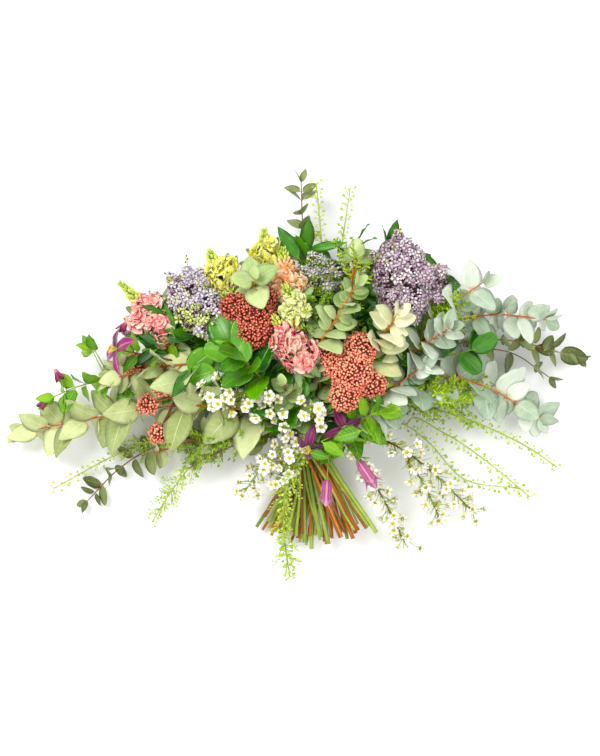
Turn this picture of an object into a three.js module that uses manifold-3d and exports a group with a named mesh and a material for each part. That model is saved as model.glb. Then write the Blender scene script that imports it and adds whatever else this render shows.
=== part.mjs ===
// A wide, front-facing hand-tied bouquet, laid on its back: eucalyptus, ruscus, clematis, lilac, stock,
// rice flower, wax flower and pennycress, each stem running through one tie and fanning out again to its
// cut end. Millimetres. X runs right, Y from the cut ends to the flower heads, Z up from the table. The
// origin is on the table, under the middle of the tie.
import * as THREE from "three";
import Module from "manifold-3d";

const wasm = await Module();
wasm.setup();

// Driving sizes
const tieRows = [6, 7, 8, 9, 8, 7, 6]; // stems in each row through the tie, from the table up
const stemRadius = 2.7; // a stem at the tie, to its corners
const stemPitch = 5.1; // from stem to stem in a row
const rowPitch = 5.2; // from row to row
const bandWidth = 9; // the tie, along the stems
const bandThickness = 1.6;
const bandGap = 0.7; // between the tie and the stems
const tailLength = 142; // from the tie to the cut ends at the middle
const tailLean = 0.33; // how much shorter the outer stems are cut
const sideTwist = 0.042; // how far the upper rows cross to the side, as in a spiralled bunch
const riseTwist = 0.0034; // how far the outer stems cross upwards
const fanOut = 0.001; // how much the rows widen for each millimetre from the tie
const straightRun = 12; // the stems run on straight about this far past the tie
const tailRise = 8.5; // the cut ends lie this much higher than the tie's middle
const step = 8; // between the points of a stem's line
const stemTolerance = 1.3; // a stem's straight stretches stay this close to its curve
const tieTolerance = 0.3; // the same below and in the tie
const neckLoss = 0.7; // how much slimmer a stem is just past the tie
const clearance = 0.4; // between neighbours
const golden = 137.508;

// How each kind of leaf is cut: [share of length, share of width] from root to tip, its width as a share of
// its length and its thickness along the middle. Every leaf has a flat back and a raised middle.
const leafCuts = {
  eucalyptus: { cut: [[0.3, 0.96], [0.7, 0.82]], ratio: 0.74, thick: 1.6 },
  young: { cut: [[0.46, 1]], ratio: 0.7, thick: 1.6 }, // a smaller eucalyptus leaf near the tip
  narrow: { cut: [[0.42, 1]], ratio: 0.42, thick: 1.6 },
  clematis: { cut: [[0.44, 1], [0.76, 0.66]], ratio: 0.5, thick: 1.6 },
  ruscus: { cut: [[0.3, 0.95], [0.68, 0.74]], ratio: 0.36, thick: 1.8 },
  salal: { cut: [[0.34, 0.94], [0.72, 0.86]], ratio: 0.74, thick: 1.8 },
  tepal: { cut: [[0.55, 1]], ratio: 0.5, thick: 2 },
  pennycress: { cut: [[0.7, 1]], ratio: 0.56, thick: 1.8 },
  filler: { cut: [[0.5, 1]], ratio: 0.36, thick: 1.7 },
};

// One entry for each stem: its line from beyond the tie to its tip, and what it carries. leaf is the length
// of its longest leaves and gap the way from one joint to the next; bare is how far above the tie the first
// leaves sit, facing how much the leaves turn towards the viewer, and roll the turn of the first leaf about
// the stem. A branch leaves its stem at a distance above the tie. bloom is a flower's or a cluster's size.
// head lists the rounded lobes of a head: the middle, the radius, the half length, and the way the lobe
// points.
const sprays = [
  { name: "eucalyptus_left_long", kind: "eucalyptus", colour: 0x9aa578,
    leaf: 52, gap: 47.1, bare: 92, facing: 0.62, roll: 20,
    reach: [[-55, 46, 66], [-101, 49, 78], [-161, 53, 68], [-238, 46, 54], [-315, 30, 40], [-384, 16, 28]] },
  { name: "eucalyptus_left_upper", kind: "eucalyptus", colour: 0x9aa67c,
    leaf: 48, gap: 41.4, bare: 118, facing: 0.55, roll: 70,
    reach: [[-70, 76, 76], [-125, 108, 96], [-170, 113, 98], [-221, 97, 88], [-262, 87, 76]] },
  { name: "eucalyptus_top_star", kind: "eucalyptus", colour: 0x9db08a,
    leaf: 40, gap: 15, bare: 238, facing: 0.1, roll: 2,
    reach: [[-36, 100, 70], [-66, 170, 96], [-80, 205, 128], [-80, 214, 156]] },
  { name: "eucalyptus_centre_right", kind: "eucalyptus", colour: 0xa4b596,
    leaf: 38, gap: 27.3, bare: 148, facing: 0.5, roll: 40,
    reach: [[8, 90, 96], [20, 145, 140], [34, 180, 150], [52, 206, 150]] },
  { name: "eucalyptus_pale", kind: "eucalyptus", colour: 0xc9cfaa,
    leaf: 44, gap: 24.6, bare: 136, facing: 0.45, roll: 25,
    reach: [[36, 76, 72], [74, 124, 112], [94, 150, 136], [104, 168, 140]] },
  { name: "eucalyptus_right_star", kind: "eucalyptus", colour: 0xc3d2c8,
    leaf: 37, gap: 13, bare: 196, facing: 0.15, roll: 35,
    reach: [[60, 60, 48], [120, 118, 80], [164, 146, 108], [174, 152, 132]] },
  { name: "eucalyptus_right_upper", kind: "eucalyptus", colour: 0xb4c5b8,
    leaf: 44, gap: 37.2, bare: 176, facing: 0.5, roll: 65,
    reach: [[60, 58, 34], [130, 132, 58], [190, 172, 74], [248, 174, 72], [304, 164, 62]],
    branches: [{ at: 178, bare: 26, reach: [[182, 188, 92], [212, 206, 108], [216, 210, 124]] }] },
  { name: "eucalyptus_right_lower", kind: "eucalyptus", colour: 0xb9c7a9,
    leaf: 50, gap: 42.8, bare: 116, facing: 0.6, roll: 15,
    reach: [[52, 42, 36], [110, 80, 60], [170, 97, 66], [214, 87, 62], [251, 66, 50], [298, 34, 34]] },
  { name: "eucalyptus_right_middle", kind: "eucalyptus", colour: 0xc0d0ca,
    leaf: 46, gap: 30, bare: 72, facing: 0.5, roll: 50,
    reach: [[34, 32, 60], [66, 48, 90], [98, 76, 104], [142, 103, 98]] },
  { name: "eucalyptus_centre_low", kind: "eucalyptus", colour: 0xa7b7a0,
    leaf: 33, gap: 22.1, bare: 66, facing: 0.4, roll: 30,
    reach: [[-12, 30, 70], [-24, 46, 100], [-36, 64, 124], [-42, 78, 134]] },
  { name: "eucalyptus_left_low", kind: "eucalyptus", colour: 0xb6bf98,
    leaf: 34, gap: 34.2, bare: 128, facing: 0.6, roll: 10,
    reach: [[-50, 22, 34], [-115, 16, 34], [-175, 4, 26], [-224, -10, 17]] },
  { name: "gum_top", kind: "narrow", colour: 0x6f7d4c,
    leaf: 36, gap: 50.4, bare: 150, facing: 0.4, roll: 30,
    reach: [[-12, 90, 34], [-14, 180, 36], [-15, 253, 42], [-14, 305, 50], [-18, 346, 54]] },
  { name: "gum_right", kind: "narrow", colour: 0x6a7851,
    leaf: 36, gap: 51.7, bare: 196, facing: 0.5, roll: 20,
    reach: [[64, 60, 22], [150, 122, 36], [230, 146, 48], [298, 130, 42], [350, 114, 32]],
    branches: [{ at: 206, bare: 16, reach: [[262, 128, 30], [290, 106, 26], [314, 88, 22]] }] },
  { name: "gum_left_low", kind: "narrow", colour: 0x707e4a,
    leaf: 34, gap: 42.9, bare: 212, facing: 0.6, roll: 15,
    reach: [[-60, 12, 20], [-150, 14, 20], [-232, -8, 18], [-272, -36, 15], [-305, -78, 10]] },
  { name: "gum_twig", kind: "narrow", colour: 0x66613c,
    leaf: 20, gap: 44.7, bare: 92, facing: 0.3, roll: 60,
    reach: [[-34, 14, 46], [-85, 17, 50], [-118, -8, 44], [-160, -27, 34]] },
  { name: "ruscus_top", kind: "ruscus", colour: 0x2f7a22,
    leaf: 60, gap: 17, bare: 176, facing: 0.35, roll: 100,
    reach: [[-2, 84, 62], [-8, 160, 84], [-10, 216, 96], [-10, 250, 98]] },
  { name: "ruscus_arc", kind: "ruscus", colour: 0x1f5c20,
    leaf: 64, gap: 16, bare: 196, facing: 0.2, roll: 150,
    reach: [[16, 90, 42], [34, 170, 58], [46, 222, 74], [46, 246, 84]] },
  { name: "ruscus_upper_right", kind: "ruscus", colour: 0x2e7334,
    leaf: 54, gap: 18, bare: 200, facing: 0.3, roll: 80,
    reach: [[26, 92, 54], [58, 170, 74], [82, 226, 84], [96, 256, 88]] },
  { name: "ruscus_left", kind: "ruscus", colour: 0x3c9320,
    leaf: 58, gap: 17, bare: 168, facing: 0.35, roll: 60,
    reach: [[-52, 62, 52], [-120, 108, 72], [-172, 136, 88], [-200, 160, 92]] },
  { name: "salal_centre", kind: "salal", colour: 0x4fae1d,
    leaf: 50, gap: 9, bare: 122, facing: 0.3, roll: 10,
    reach: [[-34, 46, 84], [-62, 80, 112], [-82, 102, 138], [-92, 112, 156]] },
  { name: "salal_right", kind: "salal", colour: 0x2f8f24,
    leaf: 46, gap: 18, bare: 182, facing: 0.6, roll: 0,
    reach: [[54, 58, 26], [118, 102, 50], [172, 120, 74], [206, 124, 86]] },
  { name: "clematis_vine_left", kind: "clematis", colour: 0x6fb03a,
    leaf: 46, gap: 38.9, bare: 246, facing: 0.7, roll: 20,
    reach: [[-64, 42, 40], [-170, 66, 50], [-262, 92, 58], [-312, 84, 60], [-336, 70, 58], [-350, 60, 54]],
    branches: [{ at: 232, bare: 34, reach: [[-262, 104, 68], [-284, 116, 72], [-294, 126, 72]] }] },
  { name: "clematis_vine_right", kind: "clematis", colour: 0x55a12e,
    leaf: 52, gap: 23.9, bare: 46, facing: 0.6, roll: 45,
    reach: [[24, 26, 64], [44, 28, 96], [68, 34, 116], [88, 46, 118]] },
  { name: "clematis_open", kind: "flower", colour: 0x8f1f6f, flower: "open", bloom: 36,
    reach: [[-62, 66, 60], [-150, 104, 80], [-230, 118, 92], [-252, 121, 102], [-256, 124, 118]],
    branches: [
      { at: 150, flower: "bud", bloom: 22, reach: [[-176, 122, 60], [-216, 134, 52], [-236, 142, 56]] },
    ] },
  { name: "clematis_bells", kind: "flower", colour: 0xb65c9b, flower: "bell", bloom: 42,
    reach: [[18, 26, 58], [38, 16, 92], [54, -6, 100], [57, -22, 94]],
    branches: [{ at: 40, flower: "bell", bloom: 36, reach: [[20, 4, 86], [14, -26, 90], [16, -46, 82]] }] },
  { name: "clematis_dark_right", kind: "flower", colour: 0x5a1747, flower: "open", bloom: 27,
    reach: [[16, 28, 62], [30, 24, 96], [38, 22, 114]] },
  { name: "clematis_dark_left", kind: "flower", colour: 0x861d6a, flower: "open", bloom: 28,
    reach: [[0, 26, 60], [-4, 12, 86], [-8, -2, 100]] },
  { name: "lilac_left", kind: "lilac", colour: 0xc3b0d6, stem: 0x6d7a3a,
    reach: [[-38, 70, 62], [-94, 128, 84], [-124, 160, 98], [-148, 178, 106]],
    head: [[-151, 181, 108, 26, 40, -48, 53, 10]] },
  { name: "lilac_right", kind: "lilac", colour: 0xab96c6, stem: 0x6d7a3a,
    reach: [[38, 80, 54], [86, 130, 76], [108, 160, 92], [114, 200, 104]],
    head: [[113, 212, 106, 30, 50, -12, 90, 14], [148, 208, 98, 17, 20, 60, 40, 0]] },
  { name: "lilac_top", kind: "lilac", colour: 0xa79bbb, stem: 0x6d7a3a,
    reach: [[2, 90, 62], [8, 160, 88], [8, 190, 102], [6, 214, 108]],
    head: [[6, 216, 108, 15, 21, -4, 12, 3]] },
  { name: "stock_pink_centre", kind: "stock", colour: 0xe08a92, stem: 0x7f9a4a,
    reach: [[-6, 50, 86], [-10, 84, 110], [-16, 100, 124], [-26, 120, 135]],
    head: [[-27, 124, 136, 17, 29, -32, 52, 14]] },
  { name: "stock_pink_left", kind: "stock", colour: 0xe9929c, stem: 0x7f9a4a,
    reach: [[-56, 74, 60], [-130, 122, 76], [-174, 138, 82], [-203, 158, 88]],
    head: [[-206, 161, 88, 18, 30, -40, 42, 6]] },
  { name: "stock_apricot", kind: "stock", colour: 0xf0b07a, stem: 0x7f9a4a,
    reach: [[-18, 90, 78], [-28, 150, 100], [-32, 184, 110], [-35, 207, 113]],
    head: [[-35, 210, 113, 15, 22, -4, 26, 2]] },
  { name: "stock_yellow", kind: "stock", colour: 0xdcd873,
    reach: [[-42, 88, 66], [-84, 150, 86], [-104, 182, 100], [-116, 205, 106]],
    head: [[-117, 209, 106, 16, 25, -18, 38, 3], [-61, 240, 92, 12, 18, -3, 20, 3]],
    branches: [{ at: 110, reach: [[-58, 180, 80], [-60, 218, 90], [-61, 237, 92]] }] },
  { name: "stock_lime", kind: "stock", colour: 0xd6dd93,
    reach: [[-14, 80, 84], [-18, 130, 112], [-22, 156, 128], [-26, 170, 134]],
    head: [[-26, 172, 134, 12, 15, -8, 22, 8]] },
  { name: "rice_dark", kind: "rice", colour: 0xa1474e, stem: 0x8a5a3a,
    reach: [[-30, 70, 80], [-58, 124, 104], [-66, 148, 118], [-69, 164, 130]],
    head: [[-78, 166, 132, 24], [-103, 177, 132, 15], [-66, 188, 131, 14], [-80, 146, 134, 18]] },
  { name: "rice_pink", kind: "rice", colour: 0xd98f8c, stem: 0x8a5a3a,
    reach: [[16, 44, 78], [36, 72, 98], [44, 86, 112], [47, 96, 122]],
    head: [
      [47, 97, 124, 23], [57, 124, 122, 18], [27, 105, 120, 15],
      [74, 80, 112, 15], [39, 64, 116, 17], [14, 121, 122, 9],
    ] },
  { name: "rice_left", kind: "riceSprig", colour: 0xd56f77, bloom: 10,
    reach: [[-66, 58, 52], [-150, 76, 70], [-188, 76, 80], [-198, 76, 88]],
    branches: [
      { at: 178, bare: 0, reach: [[-204, 62, 76], [-219, 52, 76]] },
      { at: 142, bare: 0, reach: [[-180, 40, 60], [-206, 14, 54]] },
      { at: 188, bare: 0, reach: [[-216, 94, 84], [-234, 106, 84]] },
    ] },
  { name: "wax_left", kind: "wax", colour: 0xf3f1e2, bare: 102, gap: 16.7,
    reach: [[-34, 30, 90], [-66, 52, 122], [-96, 74, 136], [-118, 84, 140]],
    branches: [
      { at: 84, bare: 22, reach: [[-80, 54, 126], [-112, 56, 130], [-136, 60, 124]] },
      { at: 60, bare: 12, reach: [[-48, 34, 118], [-58, 46, 128], [-60, 62, 132]] },
    ] },
  { name: "wax_middle", kind: "wax", colour: 0xf6f5ee, bare: 62, gap: 14.1,
    reach: [[2, 28, 70], [0, 32, 104], [-6, 38, 128], [-6, 48, 134]] },
  { name: "wax_low", kind: "wax", colour: 0xf1efdc, bare: 54, gap: 18,
    reach: [[-10, 24, 62], [-34, 10, 90], [-60, -10, 88], [-84, -44, 70], [-92, -62, 60]],
    branches: [{ at: 52, bare: 12, reach: [[-36, -14, 84], [-44, -36, 74], [-46, -46, 68]] }] },
  { name: "wax_right_inner", kind: "wax", colour: 0xeeead2, bare: 56, gap: 23.2,
    reach: [[26, 22, 52], [48, -6, 72], [76, -42, 66], [95, -79, 50], [112, -114, 34], [120, -132, 26]] },
  { name: "wax_right_outer", kind: "wax", colour: 0xeeead2, bare: 118, gap: 20.6,
    reach: [[36, 24, 48], [76, 16, 66], [114, 0, 64], [156, -35, 52], [186, -66, 40], [212, -92, 30]],
    branches: [{ at: 118, bare: 26, reach: [[140, -40, 54], [154, -72, 44], [166, -98, 34]] }] },
  { name: "pennycress_top", kind: "pennycress", colour: 0xb9cf5c, bare: 206, gap: 25.6,
    reach: [[4, 100, 50], [10, 190, 62], [11, 243, 66], [8, 292, 68], [2, 344, 66]],
    branches: [{ at: 96, bare: 116, reach: [[24, 150, 72], [32, 222, 78], [38, 290, 78], [46, 334, 74]] }] },
  { name: "pennycress_left", kind: "pennycress", colour: 0x9dbb4a, bare: 190, gap: 28.7,
    reach: [[-62, 22, 16], [-160, 14, 16], [-244, -2, 18], [-290, -28, 16], [-350, -61, 10]],
    branches: [{ at: 96, bare: 32, reach: [[-150, -12, 24], [-186, -54, 20], [-218, -106, 12]] }] },
  { name: "pennycress_tail", kind: "pennycress", colour: 0xa9d14c, bare: 44, gap: 14.2,
    reach: [
      [-4, 22, 64], [-24, -10, 86], [-46, -64, 76], [-43, -109, 58], [-39, -152, 36], [-33, -178, 24],
    ] },
  { name: "pennycress_right", kind: "pennycress", colour: 0xaacb4f, bare: 196, gap: 31.9,
    reach: [[54, 42, 26], [130, 56, 36], [190, 40, 36], [258, 8, 32], [306, -8, 24], [324, -32, 18]],
    branches: [
      { at: 96, bare: 70, reach: [[146, 30, 30], [201, -4, 26], [247, -36, 22], [288, -72, 16]] },
      { at: 60, bare: 96, reach: [[112, 34, 24], [148, 10, 22], [170, -20, 20], [200, -48, 16]] },
    ] },
  { name: "green_right", kind: "filler", colour: 0x7fae32, bare: 84, gap: 21.1,
    reach: [[48, 44, 32], [100, 66, 52], [150, 66, 56], [196, 56, 50]],
    branches: [{ at: 76, bare: 30, reach: [[112, 110, 66], [150, 152, 74], [172, 178, 78]] }] },
  { name: "green_left", kind: "filler", colour: 0x86b23c, bare: 70, gap: 21.1,
    reach: [[-48, 26, 50], [-100, 20, 56], [-146, 6, 50], [-168, -12, 40]] },
  { name: "green_top", kind: "filler", colour: 0x6d9f33, bare: 150, gap: 21.1,
    reach: [[12, 90, 76], [34, 180, 96], [52, 226, 102]],
    branches: [{ at: 110, bare: 36, reach: [[4, 150, 108], [-4, 186, 120]] }] },
];

const stemEnds = { eucalyptus: 1.5 };
const softStem = 1.25; // radius at the tip of every other kind
const waxRadius = 8.4;

// The same number between 0 and 1 for the same seed.
function chance(seed) {
  const x = Math.sin(seed * 127.1 + 311.7) * 43758.5453;
  return x - Math.floor(x);
}

const radians = (degrees) => (degrees * Math.PI) / 180;
const vec = (p) => new THREE.Vector3(p[0], p[1], p[2]);

// A point moved along directions, each by its own distance.
const moved = (p, ...moves) => moves.reduce((to, [way, far]) => to.addScaledVector(way, far), p.clone());

// Where each stem passes the tie: upper rows hold the stems that go left or forward, and the right of a row
// those that rise.
function tieSlots() {
  const middle = (tieRows.length - 1) / 2;
  const order = sprays.map((s, i) => {
    const d = vec(s.reach[0]).sub(vec([0, 0, 24])).normalize();
    return { i, height: d.z * 1.2 - d.x, rise: d.z };
  });
  order.sort((a, b) => a.height - b.height || a.i - b.i);
  const slots = [];
  let next = 0;
  tieRows.forEach((count, row) => {
    const left = order.length - next;
    const held = order.slice(next, next + Math.min(count, left));
    held.sort((a, b) => a.rise - b.rise || a.i - b.i);
    next += held.length;
    held.forEach((o, k) => {
      slots[o.i] = { u: (k - (held.length - 1) / 2) * stemPitch, w: (row - middle) * rowPitch };
    });
  });
  return slots;
}

const tieHeight = bandThickness + bandGap + ((tieRows.length - 1) / 2) * rowPitch + stemRadius;

// A point of the bunch near the tie and below it: rows and columns turn about the bunch's line as they
// leave the tie.
function bunchPoint(slot, y) {
  const reach = (y * y) / (Math.abs(y) + straightRun);
  const away = Math.sign(y) * reach;
  const rise = y < 0 ? (tailRise * reach) / tailLength : 0;
  const x = slot.u * (1 + reach * fanOut) - away * sideTwist * slot.w;
  return [x, y, tieHeight + rise + slot.w + away * riseTwist * slot.u];
}

// Points every step along a smooth curve through the given ones.
function evenly(points, spacing) {
  const curve = new THREE.CatmullRomCurve3(points.map(vec), false, "centripetal");
  curve.arcLengthDivisions = 400;
  const count = Math.max(2, Math.round(curve.getLength() / spacing));
  return curve.getSpacedPoints(count).map((p) => p.toArray());
}

const lowestInTie = bandThickness + bandGap + stemRadius;
const bandRoom = { side: 35, top: 52, along: 10 }; // stems past the tie keep out of this space round it

// The closest points of two straight stretches, as shares of their lengths, and the way from the second to
// the first.
function closest(p, q, r, t) {
  const [u, v, w] = [q.clone().sub(p), t.clone().sub(r), p.clone().sub(r)];
  const [a, b, c, d, e] = [u.dot(u), u.dot(v), v.dot(v), u.dot(w), v.dot(w)];
  const limit = (x) => Math.min(Math.max(x, 0), 1);
  let first = limit((b * e - c * d) / (a * c - b * b + 1e-9));
  const second = limit((b * first + e) / c);
  first = limit((b * second - d) / a);
  return { first, second, way: w.addScaledVector(u, first).addScaledVector(v, -second), across: u.cross(v) };
}

// Bends lines clear of each other and of the flower heads, a little each round. A line has points, how
// freely each of them moves from 0 to 1, and its owner; near the tie, where they move least, lines may lie
// closer together.
function easeApart(lines, balls, rounds) {
  const cell = 14;
  const key = (p, i = 0, j = 0, k = 0) =>
    `${Math.floor(p.x / cell) + i},${Math.floor(p.y / cell) + j},${Math.floor(p.z / cell) + k}`;
  const around = [-1, 0, 1].flatMap((i) => [-1, 0, 1].flatMap((j) => [-1, 0, 1].map((k) => [i, j, k])));
  const courses = lines.map((l) => l.points.map(vec));
  const firsts = lines.map((l) => l.points.map(vec));
  for (let round = 0; round < rounds; round++) {
    const pushes = courses.map((c) => c.map(() => vec([0, 0, 0])));
    const cells = new Map();
    const stretches = [];
    courses.forEach((course, l) => {
      for (let n = 0; n + 1 < course.length; n++) {
        const middle = course[n].clone().lerp(course[n + 1], 0.5);
        const stretch = { l, n, id: stretches.length, owner: lines[l].owner, middle };
        stretches.push(stretch);
        const k = key(stretch.middle);
        if (!cells.has(k)) cells.set(k, []);
        cells.get(k).push(stretch);
      }
    });
    for (const a of stretches) {
      const freeA = Math.max(lines[a.l].freedom[a.n], lines[a.l].freedom[a.n + 1]);
      for (const [i, j, k] of around) {
        for (const b of cells.get(key(a.middle, i, j, k)) ?? []) {
          const freeB = Math.max(lines[b.l].freedom[b.n], lines[b.l].freedom[b.n + 1]);
          if (b.id <= a.id || a.owner === b.owner || freeA + freeB === 0) continue;
          const [courseA, courseB] = [courses[a.l], courses[b.l]];
          const meeting = closest(courseA[a.n], courseA[a.n + 1], courseB[b.n], courseB[b.n + 1]);
          const apart = meeting.way.length();
          const wanted = stemPitch + 3 * Math.min(freeA, freeB, 1);
          if (apart >= wanted) continue;
          const way = apart > 0.05 ? meeting.way.divideScalar(apart) : meeting.across.normalize();
          const move = 0.45 * (wanted - apart);
          pushes[a.l][a.n].addScaledVector(way, move * (1 - meeting.first));
          pushes[a.l][a.n + 1].addScaledVector(way, move * meeting.first);
          pushes[b.l][b.n].addScaledVector(way, -move * (1 - meeting.second));
          pushes[b.l][b.n + 1].addScaledVector(way, -move * meeting.second);
        }
      }
    }
    courses.forEach((course, l) => {
      const { owner, freedom } = lines[l];
      const old = course.map((p) => p.clone());
      const first = firsts[l];
      course.forEach((p, n) => {
        if (!freedom[n]) return;
        for (const ball of balls) {
          const wanted = ball.radius + 4;
          const apart = old[n].distanceTo(ball.at);
          if (ball.owner === owner || apart >= wanted) continue;
          pushes[l][n].addScaledVector(old[n].clone().sub(ball.at).normalize(), 0.6 * (wanted - apart));
        }
        if (old[n - 1] && old[n + 1]) {
          const even = old[n - 1].clone().add(old[n + 1]).addScaledVector(old[n], -2);
          p.addScaledVector(even, 0.14 * freedom[n]);
        }
        p.addScaledVector(pushes[l][n].clampLength(0, 3), freedom[n]);
        p.z = Math.max(p.z, Math.abs(p.y) < 2 * bandWidth ? lowestInTie : 3.4);
        const beside = freedom[n] > 0.5 && Math.abs(p.x) < bandRoom.side && p.z < bandRoom.top;
        if (beside && Math.abs(p.y) < bandRoom.along) p.y += 0.5 * (bandRoom.along - p.y);
      });
    });
  }
  lines.forEach((line, l) => (line.points = courses[l].map((p) => p.toArray())));
}

const arcsOf = (points) => {
  const arcs = [0];
  for (let i = 1; i < points.length; i++) {
    arcs.push(arcs[i - 1] + vec(points[i]).distanceTo(vec(points[i - 1])));
  }
  return arcs;
};

// A line with only the points that keep it within a tolerance of its first course.
function thinned(points, tolerance) {
  const kept = new Set([0, points.length - 1]);
  const split = (a, b) => {
    const chord = new THREE.Line3(vec(points[a]), vec(points[b]));
    let [worst, pick] = [0, -1];
    for (let i = a + 1; i < b; i++) {
      const p = vec(points[i]);
      const off = p.distanceTo(chord.closestPointToPoint(p, true, vec([0, 0, 0])));
      if (off > worst) [worst, pick] = [off, i];
    }
    if (worst <= tolerance) return;
    kept.add(pick);
    split(a, pick);
    split(pick, b);
  };
  split(0, points.length - 1);
  return points.filter((_, i) => kept.has(i));
}

// The direction of a line at one of its points.
function tangentAt({ points }, n) {
  const pick = (k) => vec(points[Math.min(Math.max(k, 0), points.length - 1)]);
  const [before, here, after] = [n - 1, n, n + 1].map(pick);
  return here.clone().sub(before).normalize().add(after.sub(here).normalize()).normalize();
}

// The place and direction of a line at a distance along it.
function along(line, arc) {
  const { points, arcs } = line;
  let i = 1;
  while (i < points.length - 1 && arcs[i] < arc) i++;
  const t = Math.min(Math.max((arc - arcs[i - 1]) / (arcs[i] - arcs[i - 1]), 0), 1);
  const at = vec(points[i - 1]).lerp(vec(points[i]), t);
  return { at, tangent: tangentAt(line, i - 1).lerp(tangentAt(line, i), t).normalize() };
}

// A head's lobes, from its entries in the table: place, width and length to each side, and the way the lobe
// points.
function lobesOf(s) {
  return (s.head ?? []).map(([x, y, z, radius, half = radius * 0.85, ax = 0, ay = 0, az = 1]) => ({
    centre: vec([x, y, z]), axis: vec([ax, ay, az]).normalize(), radius, half,
  }));
}

// Each stem's line: through the bunch from its cut end to just past the tie, then along its reach.
function stemLines() {
  const slots = tieSlots();
  const balls = sprays.flatMap((s, owner) =>
    lobesOf(s).flatMap(({ centre, axis, radius, half }) =>
      [-0.6, 0, 0.6].map((k) => {
        const at = centre.clone().addScaledVector(axis, k * half);
        return { owner, at, radius: radius * (k ? 0.9 : 1) };
      }),
    ),
  );
  const mains = sprays.map((s, owner) => {
    const slot = slots[owner];
    const end = bunchPoint(slot, -100)[0];
    const cut = -(tailLength - tailLean * Math.abs(end) + 5 * chance(owner + 40));
    const count = Math.round(-cut / (step * 2));
    const tail = Array.from({ length: count }, (_, k) => bunchPoint(slot, cut * (1 - k / count)));
    const tied = [0, 7, 13].map((y) => bunchPoint(slot, y));
    const rise = evenly([...tied, ...s.reach], step * 0.75);
    const freedom = [...tail.map(() => 0), ...rise.map((_, n) => [0, 0.05, 0.6][n] ?? 1)];
    return { owner, points: [...tail, ...rise], freedom, tieIndex: tail.length };
  });
  easeApart(mains, balls, 220);
  const full = mains.map((m) => ({ owner: m.owner, points: m.points, freedom: m.points.map(() => 0) }));
  mains.forEach((line) => {
    const near = line.tieIndex + 6;
    const bundled = thinned(line.points.slice(0, near + 1), tieTolerance);
    line.points = [...bundled, ...thinned(line.points.slice(near), stemTolerance).slice(1)];
    const arcs = arcsOf(line.points);
    const past = line.points.findIndex((p) => p[1] > 0);
    const share = line.points[past][1] / (line.points[past][1] - line.points[past - 1][1]);
    const tiedArc = arcs[past] - share * (arcs[past] - arcs[past - 1]);
    line.arcs = arcs.map((a) => a - tiedArc);
  });
  const twigs = sprays.flatMap((s, owner) =>
    (s.branches ?? []).map((b) => {
      const fork = along(mains[owner], b.at);
      const points = evenly([fork.at.toArray(), ...b.reach], step * 0.75);
      return { owner, points, freedom: points.map((_, n) => Math.min(n / 3, 1)), twig: b };
    }),
  );
  easeApart([...full, ...twigs], balls, 90);
  twigs.forEach((line) => {
    line.points = thinned(line.points, stemTolerance);
    line.arcs = arcsOf(line.points);
  });
  return sprays.map((_, owner) => [mains[owner], ...twigs.filter((t) => t.owner === owner)]);
}

// A closed solid from points and triangles, turned right side out.
function closed(points, triangles) {
  const vertProperties = new Float32Array(points.flatMap((p) => [p.x, p.y, p.z]));
  const build = (order) => {
    const triVerts = new Uint32Array(triangles.length);
    for (let i = 0; i < triangles.length; i += 3) {
      order.forEach((o, n) => (triVerts[i + n] = triangles[i + o]));
    }
    return new wasm.Manifold(new wasm.Mesh({ numProp: 3, vertProperties, triVerts }));
  };
  const made = build([0, 1, 2]);
  return made.volume() > 0 ? made : build([0, 2, 1]);
}

// A closed solid whose skin runs through rings of points, each ring a list of the same length or one point.
function skin(rings) {
  const points = rings.flat();
  const triangles = [];
  let a = 0;
  for (let r = 0; r + 1 < rings.length; r++) {
    const [na, nb] = [rings[r].length, rings[r + 1].length];
    const b = a + na;
    for (let k = 0; k < Math.max(na, nb); k++) {
      const next = (k + 1) % Math.max(na, nb);
      if (na > 1) triangles.push(a + k, a + next, nb > 1 ? b + k : b);
      if (nb > 1) triangles.push(na > 1 ? a + next : a, b + next, b + k);
    }
    a = b;
  }
  for (let k = 1; k + 1 < rings[0].length; k++) triangles.push(0, k + 1, k);
  for (let k = 1; k + 1 < rings.at(-1).length; k++) triangles.push(a, a + k, a + k + 1);
  return closed(points, triangles);
}

// Two directions square to a line's tangent: one level with the table, the other across it.
function acrossOf(tangent) {
  const up = Math.abs(tangent.z) > 0.92 ? vec([0, 1, 0]) : vec([0, 0, 1]);
  const level = up.clone().cross(tangent).normalize();
  return { level, over: tangent.clone().cross(level).normalize() };
}

// A tube along chosen points of a line, with a radius for each.
function tube(places, radii, sides) {
  let level = acrossOf(places[0].tangent).level;
  return skin(
    places.map(({ at, tangent }, n) => {
      level = level.clone().addScaledVector(tangent, -level.dot(tangent)).normalize();
      const over = tangent.clone().cross(level);
      return Array.from({ length: sides }, (_, k) => {
        const turn = ((k + 0.5) / sides) * 2 * Math.PI;
        return moved(at, [level, Math.cos(turn) * radii[n]], [over, Math.sin(turn) * radii[n]]);
      });
    }),
  );
}

// A stem or twig: three-sided, with a corner at its full radius. Its sides stand level and upright in the
// tie.
function stemSolid(line, endRadius) {
  const last = line.arcs.at(-1);
  const thick = line.twig ? Math.min(1.6, endRadius * 1.4) : stemRadius;
  const radii = line.arcs.map((a) => {
    if (line.twig) return thick + ((endRadius - thick) * a) / last;
    const share = (from, to) => Math.min(Math.max((a - from) / (to - from), 0), 1);
    const lost = neckLoss * share(bandWidth / 2, 3 * bandWidth);
    return thick - lost + (endRadius + neckLoss - thick) * share(2 * bandWidth, last);
  });
  const inTie = (n) => !line.twig && Math.abs(line.arcs[n]) < bandWidth;
  const wayAt = (n) => (inTie(n) ? vec([0, 1, 0]) : tangentAt(line, n));
  return tube(line.points.map((p, n) => ({ at: vec(p), tangent: wayAt(n) })), radii, 3);
}

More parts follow.
